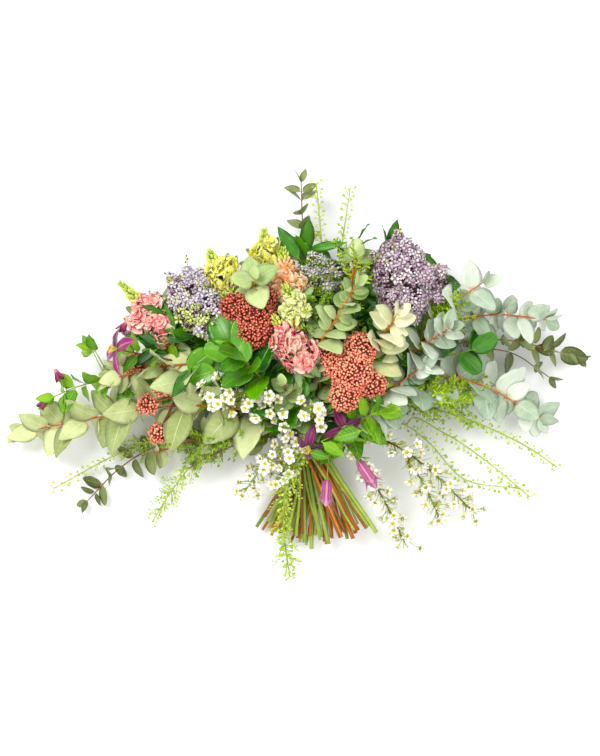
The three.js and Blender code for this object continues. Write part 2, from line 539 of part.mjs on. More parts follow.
// How one leaf, pod or flower stands on its stem. Each further try turns it about the stem, and later ones
// make it smaller.
const turns = [0, 22, -22, 45, -45, 72, -72, 105, -105];
function pose(line, organ, attempt) {
  const { at, tangent } = along(line, organ.arc);
  const { level, over } = acrossOf(tangent);
  const roll = radians(organ.roll + turns[attempt]);
  const spread = radians(organ.spread);
  const out = level.clone().multiplyScalar(Math.cos(roll)).addScaledVector(over, Math.sin(roll));
  const direction = tangent.clone().multiplyScalar(Math.cos(spread)).addScaledVector(out, Math.sin(spread));
  direction.z += organ.lift ?? 0;
  direction.normalize();
  const face = tangent.clone().multiplyScalar(Math.sin(spread)).addScaledVector(out, -Math.cos(spread));
  face.multiplyScalar(1 - organ.facing).addScaledVector(vec([0, 0, 1]), organ.facing);
  face.addScaledVector(direction, -face.dot(direction)).normalize();
  const size = organ.size * (attempt > 4 ? 0.85 : 1);
  return { at, direction, face, side: direction.clone().cross(face), size };
}

// The point at a share of a leaf's length, on its middle.
function midrib(p, share, bend) {
  return p.at
    .clone()
    .addScaledVector(p.direction, p.size * share * (1 - 0.3 * bend * bend * share))
    .addScaledVector(p.face, -bend * p.size * share * share);
}

// Keeps a point above the table.
const notUnder = (point, lowest) => {
  point.z = Math.max(point.z, lowest);
  return point;
};

// A leaf, petal or pod: a blade with a raised middle, bent back to its tip. grow widens it all round, and
// from sets where it starts: at nothing it starts as a point inside its stem.
const rootDepth = 0.3;
function blade(p, kind, bend, grow = 0, from = 0) {
  const { cut, ratio, thick } = leafCuts[kind];
  const rings = cut.map(([share, wide]) => {
    const at = midrib(p, share, bend);
    const w = (p.size * ratio * wide) / 2 + grow;
    const h = thick / 2 + grow;
    const edge = (offset) => notUnder(moved(at, [p.side, offset], [p.face, -h]), 0);
    return [edge(w), notUnder(at.clone().addScaledVector(p.face, h), thick), edge(-w)];
  });
  const root = midrib(p, from, bend).addScaledVector(p.direction, from ? 0 : -rootDepth);
  const tip = midrib(p, 1, bend).addScaledVector(p.direction, grow);
  return skin([[root], ...rings, [notUnder(tip, 0.3)]]);
}

// A small open flower: a star of petals round a shallow middle, narrowing behind to the point that it grows
// from.
function star(at, axis, radius, petals, inner, root, grow = 0) {
  const { level, over } = acrossOf(axis);
  const place = (share, out, lift) => {
    const turn = (share / petals) * 2 * Math.PI;
    return notUnder(moved(at, [level, Math.cos(turn) * out], [over, Math.sin(turn) * out], [axis, lift]), 0.5);
  };
  const points = [place(0, 0, 0.08 * radius + grow), root];
  const triangles = [];
  for (let k = 0; k < petals; k++) {
    points.push(place(k, inner * radius + grow, 0.04 * radius), place(k + 0.5, radius + grow, 0.3 * radius));
    const [notch, tip, next] = [2 + k * 2, 3 + k * 2, 2 + ((k + 1) % petals) * 2];
    triangles.push(0, notch, tip, 0, tip, next, notch, next, tip, 1, next, notch);
  }
  return closed(points, triangles);
}

// A rounded lobe about an axis, its skin raised into peaks and hollows by a checker of its grid.
function lobe(centre, axis, radius, half, rows, columns, bump) {
  const { level, over } = acrossOf(axis);
  const place = (x, y, z) => moved(centre, [level, x * radius], [over, y * radius], [axis, z * half]);
  const rings = Array.from({ length: rows - 1 }, (_, n) =>
    Array.from({ length: columns }, (_, column) => {
      const row = n + 1;
      const down = (row / rows) * Math.PI;
      const turn = ((column + (row % 2) * 0.5) / columns) * 2 * Math.PI;
      const r = 1 + ((row + column) % 2 ? bump : -bump);
      const wide = Math.sin(down) * r;
      return place(wide * Math.cos(turn), wide * Math.sin(turn), Math.cos(down) * r);
    }),
  );
  return skin([[place(0, 0, 1)], ...rings, [place(0, 0, -1)]]);
}
const upright = vec([0, 0, 1]);

// Points spread evenly over a lobe, with the direction out of it at each.
function scatter(centre, axis, radius, half, count) {
  const { level, over } = acrossOf(axis);
  return Array.from({ length: count }, (_, n) => {
    const z = 1 - (2 * (n + 0.5)) / count;
    const turn = radians(golden * n);
    const [x, y] = [Math.cos(turn) * Math.sqrt(1 - z * z), Math.sin(turn) * Math.sqrt(1 - z * z)];
    const local = (a, b, c) => moved(vec([0, 0, 0]), [level, a], [over, b], [axis, c]);
    const at = local(x * radius, y * radius, z * half).add(centre);
    return { at, out: local(x / radius, y / radius, z / half).normalize() };
  });
}

// What each kind of stem carries: leaves in crossed pairs, single leaves in a spiral, pods, leaflets or
// stalked flowers. Leaves grow smaller and point further forward towards the tip. roll and spread are in
// degrees.
function organsOf(s, line, seed) {
  const last = line.arcs.at(-1);
  const { bare } = line.twig ?? s;
  const organs = [];
  const grown = (arc) => (last - bare > 1 ? (arc - bare) / (last - bare) : 1);
  const { facing } = s;
  if (s.kind === "eucalyptus" || s.kind === "narrow" || s.kind === "clematis") {
    const young = s.kind === "eucalyptus" ? "young" : s.kind;
    let arc = bare;
    for (let k = 0; arc < last - 1; k++) {
      const t = grown(arc);
      [0, 180].forEach((half, n) => {
        const jitter = chance(seed + k * 2 + n) - 0.5;
        organs.push({
          arc,
          roll: s.roll + 90 * k + half + 26 * jitter,
          spread: 76 - 34 * t + 12 * jitter,
          size: s.leaf * (1 - 0.42 * t * t) * (1 + 0.2 * jitter),
          facing,
          bend: 0.1 + 0.16 * (jitter + 0.5),
          cut: t > 0.35 ? young : s.kind,
        });
      });
      arc += s.gap * (1 - 0.35 * t);
    }
    for (const roll of [40, 220]) {
      organs.push({ arc: last - 1.5, roll, spread: 24, size: s.leaf * 0.5, facing, bend: 0.05, cut: young });
    }
  } else if (s.kind === "ruscus" || s.kind === "salal") {
    let arc = bare;
    for (let k = 0; arc < last; k++) {
      const t = grown(arc);
      const jitter = chance(seed + k) - 0.5;
      organs.push({
        arc,
        roll: s.roll + golden * k + 20 * jitter,
        spread: (s.kind === "salal" ? 76 : 52) - 26 * t,
        size: s.leaf * (1 - 0.2 * t + 0.2 * jitter),
        facing,
        bend: 0.08 + 0.22 * (jitter + 0.5),
        cut: s.kind,
      });
      arc += s.gap * (1 - 0.2 * t);
    }
    const tipLeaf = { arc: last - 2, roll: s.roll, spread: 14, size: s.leaf * 0.85, facing, bend: 0.1 };
    organs.push({ ...tipLeaf, cut: s.kind });
  } else if (s.kind === "wax" || s.kind === "pennycress" || s.kind === "filler") {
    let arc = bare;
    for (let k = 0; arc < last - 1; k++) {
      const t = grown(arc);
      const jitter = chance(seed + k) - 0.5;
      const sizes = {
        wax: 18 + 12 * jitter,
        pennycress: 13 + 3 * jitter - 4 * t,
        filler: 18 + 6 * jitter - 5 * t,
      };
      organs.push({
        arc,
        roll: golden * k + seed,
        spread: 62 - 18 * t,
        size: sizes[s.kind],
        facing: 0.35,
        bend: 0,
        lift: s.kind === "wax" ? 0.35 : 0,
        cut: s.kind,
      });
      arc += s.gap;
    }
  }
  return organs;
}

// The solid of one organ, and with grow the same one made larger all round.
function organSolid(s, p, organ, grow = 0) {
  if (s.kind === "wax") {
    const axis = p.direction.clone().addScaledVector(upright, 0.5).normalize();
    return star(midrib(p, 1, 0), axis, waxRadius, 5, 0.62, p.at, grow);
  }
  return blade(p, organ.cut, organ.bend, grow);
}

// The part of an organ that stands away from its stem.
function outerPart(s, p, organ) {
  return leafCuts[organ.cut] ? blade(p, organ.cut, organ.bend, 0, 0.25) : organSolid(s, p, organ);
}

// The flower at the end of a clematis stem: open with four tepals, hanging as a bell with four points, or a
// closed bud. profile lists the distance along the flower and the radius of each of its rings.
function clematisBloom({ flower, bloom }, line) {
  const { at, tangent } = along(line, line.arcs.at(-1));
  const { level, over } = acrossOf(tangent);
  const radial = (turn) => moved(vec([0, 0, 0]), [level, Math.cos(turn)], [over, Math.sin(turn)]);
  if (flower === "open") {
    const back = at.clone().addScaledVector(tangent, -1);
    const petals = [0, 1, 2, 3].map((k) => {
      const out = radial(radians(90 * k + 25));
      const direction = out.clone().addScaledVector(tangent, 0.25).normalize();
      const face = tangent.clone().addScaledVector(direction, -tangent.dot(direction)).normalize();
      const side = direction.clone().cross(face);
      return blade({ at: back, direction, face, side, size: bloom }, "tepal", 0.3);
    });
    return [...petals, lobe(at.clone().addScaledVector(tangent, 2), tangent, 4, 4, 3, 5, 0)];
  }
  const shut = flower === "bud";
  const profile = shut
    ? [[-2, 1.6], [4, 4.2], [12, 4.8]]
    : [[-2, 2.4], [4, 7.2], [bloom * 0.55, 7.8], [bloom * 0.86, 10.5]];
  const place = (k, d, r) => moved(at, [tangent, d], [radial((k / 8) * 2 * Math.PI), r]);
  const ring = (down, radius) => Array.from({ length: 8 }, (_, k) => place(k, down(k), radius(k)));
  const rings = profile.map(([d, r]) => ring(() => d, () => r));
  if (shut) return [skin([...rings, [at.clone().addScaledVector(tangent, bloom)]])];
  const mouth = ring((k) => bloom * (k % 2 ? 0.88 : 1.02), (k) => (k % 2 ? 8.5 : 14.5));
  return [skin([...rings, mouth, [at.clone().addScaledVector(tangent, bloom * 0.5)]])];
}

// A head of lilac, stock or rice flower: raised lobes, with florets standing out of them where nothing
// covers them.
const headCuts = {
  lilac: { grid: [6, 9], bump: 0.13, floret: 10.5, petals: 4, inner: 0.45, spacing: 900 },
  stock: { grid: [3, 6], bump: 0, floret: 12.5, petals: 5, inner: 0.75, spacing: 680 },
  rice: { grid: [4, 8], bump: 0.12 },
};
function headLobes(s, room = 0) {
  const { grid, bump } = headCuts[s.kind];
  return lobesOf(s).map((b) => lobe(b.centre, b.axis, b.radius + room, b.half + room, ...grid, bump));
}

function headFlorets(s, owner, others) {
  const { floret, petals, inner, spacing } = headCuts[s.kind];
  const balls = lobesOf(s);
  return balls.flatMap((ball, n) => {
    const count = Math.round((4 * Math.PI * ball.radius * (ball.radius + ball.half * 2)) / 3 / spacing);
    return scatter(ball.centre, ball.axis, ball.radius, ball.half, count)
      .filter(({ at }) => balls.every((b) => b === ball || at.distanceTo(b.centre) > (b.radius + b.half) / 2))
      .map(({ at, out }, k) => {
        const back = at.clone().addScaledVector(out, -floret * 0.55);
        const place = at.clone().addScaledVector(out, 1.5 + 2.5 * chance(owner * 90 + n * 30 + k));
        return [0, clearance].map((grow) => star(place, out, floret, petals, inner, back, grow));
      })
      .filter(([, grown]) => isClear(grown, others))
      .map(([floretSolid]) => floretSolid);
  });
}

const joined = (solids) => wasm.Manifold.union(solids);

// The largest body of a solid: small scraps that a cut leaves loose are dropped.
function mainBody(solid) {
  return solid.decompose().sort((a, b) => b.volume() - a.volume())[0];
}

// A node's solid as a mesh. Corners closer than the merging distance become one.
const mergeDistance = 0.02;
function meshOf(name, solid, colour) {
  const m = mainBody(solid.simplify(mergeDistance)).getMesh();
  const geometry = new THREE.BufferGeometry();
  const positions = new Float32Array(m.numVert * 3);
  for (let i = 0; i < m.numVert; i++) {
    positions.set(m.vertProperties.subarray(i * m.numProp, i * m.numProp + 3), i * 3);
  }
  geometry.setAttribute("position", new THREE.BufferAttribute(positions, 3));
  geometry.setIndex(new THREE.BufferAttribute(new Uint32Array(m.triVerts), 1));
  geometry.computeVertexNormals();
  const material = new THREE.MeshStandardMaterial({ color: colour, roughness: 0.65, metalness: 0 });
  const mesh = new THREE.Mesh(geometry, material);
  mesh.name = name;
  return mesh;
}

// The tie: a band whose inside lies just clear of the stems on every side, flat where it rests on the
// table. Its outline is where neighbouring lines, each a reach away from the origin along its normal, meet.
function tieBand(lines) {
  const count = 12;
  const normals = Array.from({ length: count }, (_, k) => {
    const turn = radians(-90 + (360 / count) * k);
    return [Math.cos(turn), Math.sin(turn)];
  });
  const arcs = Array.from({ length: 21 }, (_, k) => k - 8);
  const passing = lines.flatMap(([main]) => arcs.map((arc) => along(main, arc).at));
  const held = passing.filter((p) => Math.abs(p.y) < bandWidth / 2 + 0.5);
  const outline = (extra) => {
    const reach = normals.map(([nx, nz], k) => {
      if (k === 0) return extra - bandThickness; // the flat underside, which lies on the table
      return Math.max(...held.map((p) => p.x * nx + p.z * nz)) + stemRadius + bandGap + extra;
    });
    return normals.map(([nx, nz], k) => {
      const [mx, mz] = normals[(k + 1) % count];
      const [here, next] = [reach[k], reach[(k + 1) % count]];
      const det = nx * mz - nz * mx;
      return [(here * mz - next * nz) / det, (next * nx - here * mx) / det];
    });
  };
  const ring = (points, y) => points.map(([x, z]) => vec([x, y, z]));
  const solid = (points, half) => skin([ring(points, -half), ring(points, half)]);
  return solid(outline(bandThickness), bandWidth / 2).subtract(solid(outline(0), bandWidth));
}

const lines = stemLines();
const taken = []; // every solid placed so far, with its box and the spray it belongs to
const boxOf = (solid) => {
  const b = solid.boundingBox();
  return { low: b.min, high: b.max };
};
const apart = (a, b) => [0, 1, 2].some((c) => a.low[c] > b.high[c] || b.low[c] > a.high[c]);
const take = (owner, solid) => taken.push({ owner, solid, box: boxOf(solid) });

const isClear = (grown, others) => {
  const box = boxOf(grown);
  return others.every((t) => apart(box, t.box) || grown.intersect(t.solid).isEmpty());
};

// First the tie and every stem, then the heads and clematis flowers, then the leaves and small flowers that
// find room.
const band = tieBand(lines);
take("tie", band);
const pieces = sprays.map((s, owner) => {
  const end = stemEnds[s.kind] ?? softStem;
  const solids = lines[owner].map((line) => stemSolid(line, end));
  solids.forEach((solid) => take(owner, solid));
  return solids;
});
const lobes = sprays.map((s, owner) => {
  if (!s.head) return null;
  const joinedLobes = joined(headLobes(s));
  take(owner, joinedLobes);
  return joinedLobes;
});
sprays.forEach((s, owner) => {
  if (s.kind !== "flower") return;
  lines[owner].forEach((line) => {
    const bloom = joined(clematisBloom(line.twig ?? s, line));
    take(owner, bloom);
    pieces[owner].push(bloom);
  });
});
sprays.forEach((s, owner) => {
  if (s.kind !== "riceSprig") return;
  lines[owner].forEach((line) => {
    const { at } = along(line, line.arcs.at(-1));
    const cluster = lobe(at, upright, s.bloom, s.bloom * 0.85, 3, 6, 0.12);
    take(owner, cluster);
    pieces[owner].push(cluster);
  });
});
const heads = sprays.map((s, owner) => {
  if (!s.head || !headCuts[s.kind].floret) return lobes[owner];
  const florets = headFlorets(s, owner, taken.filter((t) => t.owner !== owner));
  florets.forEach((floret) => take(owner, floret));
  return joined([lobes[owner], ...florets]);
});
sprays.forEach((s, owner) => {
  const others = taken.filter((t) => t.owner !== owner);
  const own = [];
  lines[owner].forEach((line, n) => {
    for (const organ of organsOf(s, line, owner * 100 + n * 37)) {
      const free = turns
        .map((_, attempt) => pose(line, organ, attempt))
        .filter((p) => isClear(organSolid(s, p, organ, clearance), others));
      if (!free.length) continue;
      const best = free.find((p) => isClear(outerPart(s, p, organ), own)) ?? free[0];
      const solid = organSolid(s, best, organ);
      own.push({ solid: outerPart(s, best, organ), box: boxOf(solid) });
      take(owner, solid);
      pieces[owner].push(solid);
    }
  });
});

const bouquet = new THREE.Group();
bouquet.add(meshOf("tie", band, 0xc9b48a));
sprays.forEach((s, owner) => {
  const stem = joined(pieces[owner]);
  if (!s.stem) {
    bouquet.add(meshOf(s.name, s.head ? stem.add(heads[owner]) : stem, s.colour));
    return;
  }
  const room = joined([heads[owner], ...headLobes(s, 1.2 * clearance)]);
  bouquet.add(meshOf(s.name + "_head", heads[owner], s.colour));
  bouquet.add(meshOf(s.name + "_stem", stem.subtract(room), s.stem));
});

export default bouquet;
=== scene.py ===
import bpy
import numpy as np
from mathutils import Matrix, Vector


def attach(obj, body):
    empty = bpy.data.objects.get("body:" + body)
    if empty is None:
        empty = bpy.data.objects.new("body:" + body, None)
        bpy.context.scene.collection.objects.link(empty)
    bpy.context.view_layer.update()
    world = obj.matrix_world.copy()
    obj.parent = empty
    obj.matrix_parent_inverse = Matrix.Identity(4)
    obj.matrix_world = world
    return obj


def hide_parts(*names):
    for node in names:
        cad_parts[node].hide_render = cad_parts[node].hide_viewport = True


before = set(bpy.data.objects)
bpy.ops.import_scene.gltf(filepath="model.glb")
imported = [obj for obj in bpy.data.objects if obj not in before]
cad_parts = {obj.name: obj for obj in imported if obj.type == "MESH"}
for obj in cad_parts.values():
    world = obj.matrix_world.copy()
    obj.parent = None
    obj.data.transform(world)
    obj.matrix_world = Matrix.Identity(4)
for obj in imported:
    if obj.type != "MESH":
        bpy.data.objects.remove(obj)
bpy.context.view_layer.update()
metre = 0.001  # shapes are worked out in millimetres
up = np.array([0.0, 0.0, 1.0])
goldenTurn = np.radians(137.508)
aboveTable = 0.3  # nothing is drawn lower than this


# Each vector divided by its length.
def unit(vectors):
    return vectors / np.maximum(np.linalg.norm(vectors, axis=-1, keepdims=True), 1e-9)


# The sum of the products of two vectors' parts, kept as a last column.
def dots(a, b):
    return (a * b).sum(-1, keepdims=True)


# How far each of some points lies from each of some others.
def gapsTo(points, others):
    return np.linalg.norm(points[:, None] - others[None], axis=2)


# A face turned until it stands square to a direction: face - direction (face . direction), at length one.
def squareTo(face, direction):
    return unit(face - direction * dots(face, direction))


# Even random numbers between two ends, the same in every run.
def draw(seed, low, high, *shape):
    return np.random.default_rng(seed).uniform(low, high, shape)


# A node's corners in millimetres, each once, and which of them share an edge.
def readNode(name):
    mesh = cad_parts[name].data
    places = np.empty(len(mesh.vertices) * 3, np.float32)
    mesh.vertices.foreach_get("co", places)
    mesh.calc_loop_triangles()
    corners = np.empty(len(mesh.loop_triangles) * 3, np.int32)
    mesh.loop_triangles.foreach_get("vertices", corners)
    spots, back = np.unique(np.round(places.reshape(-1, 3) * 1000.0, 3), axis=0, return_inverse=True)
    faces = back.reshape(-1)[corners.reshape(-1, 3)]
    touching = np.zeros((len(spots), len(spots)), bool)
    for a, b in ((0, 1), (1, 2), (2, 0)):
        touching[faces[:, a], faces[:, b]] = True
        touching[faces[:, b], faces[:, a]] = True
    return spots, touching


ringSides = {"shortest": 1.9, "longest": 4.9, "uneven": 0.03}


# A stem is three-sided: its rings are the trios of corners whose three sides are equal. Gives their middles,
# their radii, each a side over the root of three, and which rings share an edge.
def readRings(spots, touching):
    gaps = gapsTo(spots, spots)
    near = touching & (gaps > ringSides["shortest"]) & (gaps < ringSides["longest"])
    pairs = np.argwhere(np.triu(near))
    shared = np.argwhere(near[pairs[:, 0]] & near[pairs[:, 1]])
    shared = shared[shared[:, 1] > pairs[shared[:, 0], 1]]
    trios = np.column_stack([pairs[shared[:, 0]], shared[:, 1]])
    sides = np.stack([gaps[trios[:, k], trios[:, (k + 1) % 3]] for k in range(3)], axis=1)
    even = np.ptp(sides, axis=1) < ringSides["uneven"]
    trios, sides = trios[even], sides[even]
    linked = touching[trios][:, :, trios].any(axis=(1, 3))
    np.fill_diagonal(linked, False)
    return spots[trios].mean(1), sides.mean(1) / np.sqrt(3), linked


jointReach = 6.0  # roots this close to each other belong to one joint of the stem


# The joints of a stem: each is the mean of the roots that lie within reach of it.
def gather(roots):
    joints = []
    for root in roots:
        gaps = [np.linalg.norm(np.mean(group, axis=0) - root) for group in joints]
        near = [n for n, gap in enumerate(gaps) if gap < jointReach]
        if near:
            joints[near[0]].append(root)
        else:
            joints.append([root])
    return np.array([np.mean(group, axis=0) for group in joints]).reshape(-1, 3)


# How a stem is followed from ring to ring: the radius of its cut end, how straight on, how far and how much
# thicker or thinner the next ring may be, and how much a stem thins per millimetre where rings are missing.
follow = {"cutEnd": 2.65, "straight": 0.62, "farthest": 95, "thicker": 0.12, "thinner": 0.4,
    "thinnerFar": 0.006, "thinning": 0.003, "thinnest": 1.0, "doubled": 4.0, "passed": 5.0, "step": 2.0}


# The rings in order: first the main stem from its cut end, then each twig from its fork. The next ring is the
# one with the least far (2 - straight), where straight is the cosine of the turn to it. Where rings are
# missing, the stem goes on through the roots of what it carries.
def readStems(name, roots=()):
    spots, touching = readNode(name)
    rings, radii, linked = readRings(spots, touching)
    joints = gather(roots)
    joints = joints[gapsTo(joints, rings).min(1) > follow["doubled"]]
    middles = np.vstack([rings, joints])
    radii = np.append(radii, np.full(len(joints), np.nan))
    linked = np.pad(linked, (0, len(joints)))
    isRing = np.arange(len(middles)) < len(rings)
    free = np.ones(len(middles), bool)
    thick = np.flatnonzero(radii > follow["cutEnd"])
    here = thick[np.argmin(middles[thick, 1])]
    ahead = np.array([0.0, 1.0, 0.0])
    lines = []
    while True:
        order, sizes = [here], [radii[here]]
        free[here] = False
        while free.any():
            way = middles - middles[here]
            far = np.linalg.norm(way, axis=1)
            straight = (way @ ahead) / np.maximum(far, 1e-6)
            joinedOn = free & linked[here]
            thinnest = sizes[-1] - follow["thinner"] - follow["thinnerFar"] * far
            fits = ~isRing | ((radii < sizes[-1] + follow["thicker"]) & (radii > thinnest))
            over = free & (straight > follow["straight"]) & (far < follow["farthest"]) & fits
            choice = joinedOn if joinedOn.any() else over
            if not choice.any():
                break
            there = int(np.argmin(np.where(choice, far * (2 - straight), np.inf)))
            thinned = max(sizes[-1] - follow["thinning"] * far[there], follow["thinnest"])
            sizes.append(radii[there] if isRing[there] else thinned)
            ahead = unit(way[there])
            here = there
            order.append(here)
            free[here] = False
        points, sizes = middles[order], np.array(sizes)
        if lines:
            points, sizes = np.vstack([fork, points]), np.append(sizes[0], sizes)
        if len(points) > 2 or not lines:
            lines.append({"points": points, "radii": sizes})
            drawn = resample(points, sizes, follow["step"])["points"]
            free &= isRing | (gapsTo(middles, drawn).min(1) > follow["passed"])
        waiting = np.flatnonzero(free & isRing)
        if not len(waiting):
            return lines
        smooth = [resample(line["points"], line["radii"], follow["step"]) for line in lines]
        known = np.vstack([line["points"] for line in smooth])
        gaps = gapsTo(middles[waiting], known)
        nearest = np.unravel_index(np.argmin(gaps), gaps.shape)
        here, fork = waiting[nearest[0]], known[nearest[1]]
        ahead = unit(middles[here] - fork)


belowTie = -60  # a line that starts lower than this is a main stem, and passes through the tie


# A line at even steps on the smooth curve through its points. Between points a and b with slopes there it is
# a (2ttt - 3tt + 1) + slope a (ttt - 2tt + t) + b (3tt - 2ttt) + slope b (ttt - tt). Arcs start at the tie.
def resample(points, radii, gap):
    arcs = np.concatenate([[0], np.cumsum(np.linalg.norm(np.diff(points, axis=0), axis=1))])
    if len(points) > 2:
        slopes = np.gradient(points, arcs, axis=0)
    else:
        slopes = np.repeat(unit(points[1:] - points[:1]), 2, axis=0)
    count = max(int(np.ceil(arcs[-1] / gap)), 2)
    at = np.linspace(0, arcs[-1], count + 1)
    n = np.clip(np.searchsorted(arcs, at, side="right") - 1, 0, len(arcs) - 2)
    span = (arcs[n + 1] - arcs[n])[:, None]
    t = (at - arcs[n])[:, None] / span
    places = (
        (2 * t**3 - 3 * t**2 + 1) * points[n]
        + (t**3 - 2 * t**2 + t) * span * slopes[n]
        + (3 * t**2 - 2 * t**3) * points[n + 1]
        + (t**3 - t**2) * span * slopes[n + 1]
    )
    tangents = unit(np.gradient(places, axis=0))
    past = np.argmax(places[:, 1] > 0) if places[0, 1] < belowTie else 0
    return {"points": places, "tangents": tangents, "radii": np.interp(at, arcs, radii),
        "arcs": at - at[past]}


# A place and direction at distances along a line, each read off straight between two of its points.
def along(line, arcs):
    columns = [np.interp(arcs, line["arcs"], line["points"][:, c]) for c in range(3)]
    slopes = [np.interp(arcs, line["arcs"], line["tangents"][:, c]) for c in range(3)]
    return np.stack(columns, axis=1), unit(np.stack(slopes, axis=1))


# How each leaf of the solids is cut: the last ring's shares of its length and width, and width over length.
solidCuts = {
    "eucalyptus": (0.7, 0.82, 0.74),
    "young": (0.46, 1.0, 0.7),
    "narrow": (0.42, 1.0, 0.42),
    "clematis": (0.76, 0.66, 0.5),
    "ruscus": (0.68, 0.74, 0.36),
    "salal": (0.72, 0.86, 0.74),
    "tepal": (0.55, 1.0, 0.5),
    "pennycress": (0.7, 1.0, 0.56),
    "filler": (0.5, 1.0, 0.36),
}


leafTest = {"rise": (1.1, 2.8), "size": (8, 90), "slim": 0.63, "mostBend": 0.5}


# A leaf's tip touches just the three corners of its last ring. That ring gives its direction and its face,
# and its length L = width / (ratio share). A tip that lies d below that ring, at the share c of the length,
# gives the bend b = d / (L (1 - c c)). The root lies c L (1 - 0.3 b b c) back from the ring and b L c c above.
def readLeaves(name, kinds):
    spots, touching = readNode(name)
    tips = np.flatnonzero(touching.sum(1) == 3)
    ring = np.argwhere(touching[tips])[:, 1].reshape(-1, 3)
    a, b, c = ring.T
    whole = touching[a, b] & touching[b, c] & touching[a, c]
    tips, ring = tips[whole], ring[whole]
    turned = np.stack([np.roll(ring, k, axis=1) for k in range(3)])
    first, second, third = (spots[turned[..., k]] for k in range(3))
    heights = np.linalg.norm(first - (second + third) / 2, axis=-1)
    pick = turned[np.argmin(heights, axis=0), np.arange(len(tips))]
    ridge, left, right = (spots[pick[:, k]] for k in range(3))
    middle = (left + right) / 2
    rise = np.linalg.norm(ridge - middle, axis=1)
    face, side = unit(ridge - middle), unit(left - right)
    face = squareTo(face, side)
    direction = np.cross(face, side)
    centre = middle + face * (rise / 2)[:, None]
    reach = spots[tips] - centre
    direction *= np.sign(dots(reach, direction))
    width = np.linalg.norm(left - right, axis=1)
    slim = np.linalg.norm(reach, axis=1) / width
    (thin, thick), (short, long) = leafTest["rise"], leafTest["size"]
    leaves = []
    for n in range(len(tips)):
        kind = kinds[0] if len(kinds) == 1 or slim[n] < leafTest["slim"] else kinds[1]
        share, wide, ratio = solidCuts[kind]
        size = width[n] / (ratio * wide)
        bend = float(np.clip(-(reach[n] @ face[n]) / (size * (1 - share**2)), 0, leafTest["mostBend"]))
        back = direction[n] * size * share * (1 - 0.3 * bend**2 * share)
        at = centre[n] - back + face[n] * bend * size * share**2
        if thin < rise[n] < thick and short < size < long:
            leaves.append((at, direction[n], face[n], size, bend))
    columns = [np.array([leaf[k] for leaf in leaves]) for k in range(5)]
    return dict(zip(("at", "direction", "face", "size", "bend"), columns))


# Shares of an open small flower's radius: how far its tips and notches lie from its middle, and how high.
star = {"tip": 1.024, "notch": 0.62, "tipRise": 0.22, "notchRise": -0.04, "middle": 0.08}


# An open small flower's middle touches its petals' tips and the notches between them. The axis is the one
# along which they lie nearest to their known heights, by least squares.
def readStars(name, radius):
    spots, touching = readNode(name)
    degrees = touching.sum(1)
    found = []
    for n in np.flatnonzero((degrees >= 7) & (degrees <= 11)):
        ways = spots[touching[n]] - spots[n]
        far = np.linalg.norm(ways, axis=1)
        tips = np.abs(far - star["tip"] * radius) < 0.15
        notches = np.abs(far - star["notch"] * radius) < 0.12
        if tips.sum() < 3 or notches.sum() < 3:
            continue
        known = np.concatenate([ways[tips], ways[notches]])
        lifts = np.repeat([star["tipRise"] * radius, star["notchRise"] * radius], [tips.sum(), notches.sum()])
        axis = unit(np.linalg.lstsq(known, lifts, rcond=None)[0])
        found.append((spots[n] - axis * star["middle"] * radius, axis))
    return np.array([f[0] for f in found]), np.array([f[1] for f in found])


# Quads of count grids of rows by columns points; wrap joins the last column to the first.
def gridFaces(count, rows, columns, wrap):
    n = np.arange(count)[:, None, None] * rows * columns
    r = np.arange(rows - 1)[None, :, None] * columns
    c = np.arange(columns if wrap else columns - 1)[None, None, :]
    right = (c + 1) % columns
    quads = [n + r + c, n + r + right, n + r + columns + right, n + r + columns + c]
    return np.stack(quads, axis=-1).reshape(-1, 4)


# A layer is points, quads and each point's four growth values: share along, share across, tint, underside.
def layer(points, material, u, s, tint, under=0.0):
    count, rows, columns = points.shape[:3]
    growth = np.empty((count, rows, columns, 4))
    growth[..., 0], growth[..., 1], growth[..., 2], growth[..., 3] = u, s, tint, under
    return {
        "points": points.reshape(-1, 3),
        "faces": gridFaces(count, rows, columns, True),
        "growth": growth.reshape(-1, 4),
        "material": material,
    }


# Two directions across each axis: the first is level, and the second is the cross product of both.
def across(axis):
    reference = np.where(np.abs(axis[..., 2:3]) > 0.97, np.array([0.0, 1.0, 0.0]), up)
    level = unit(np.cross(reference, axis))
    return level, np.cross(axis, level)


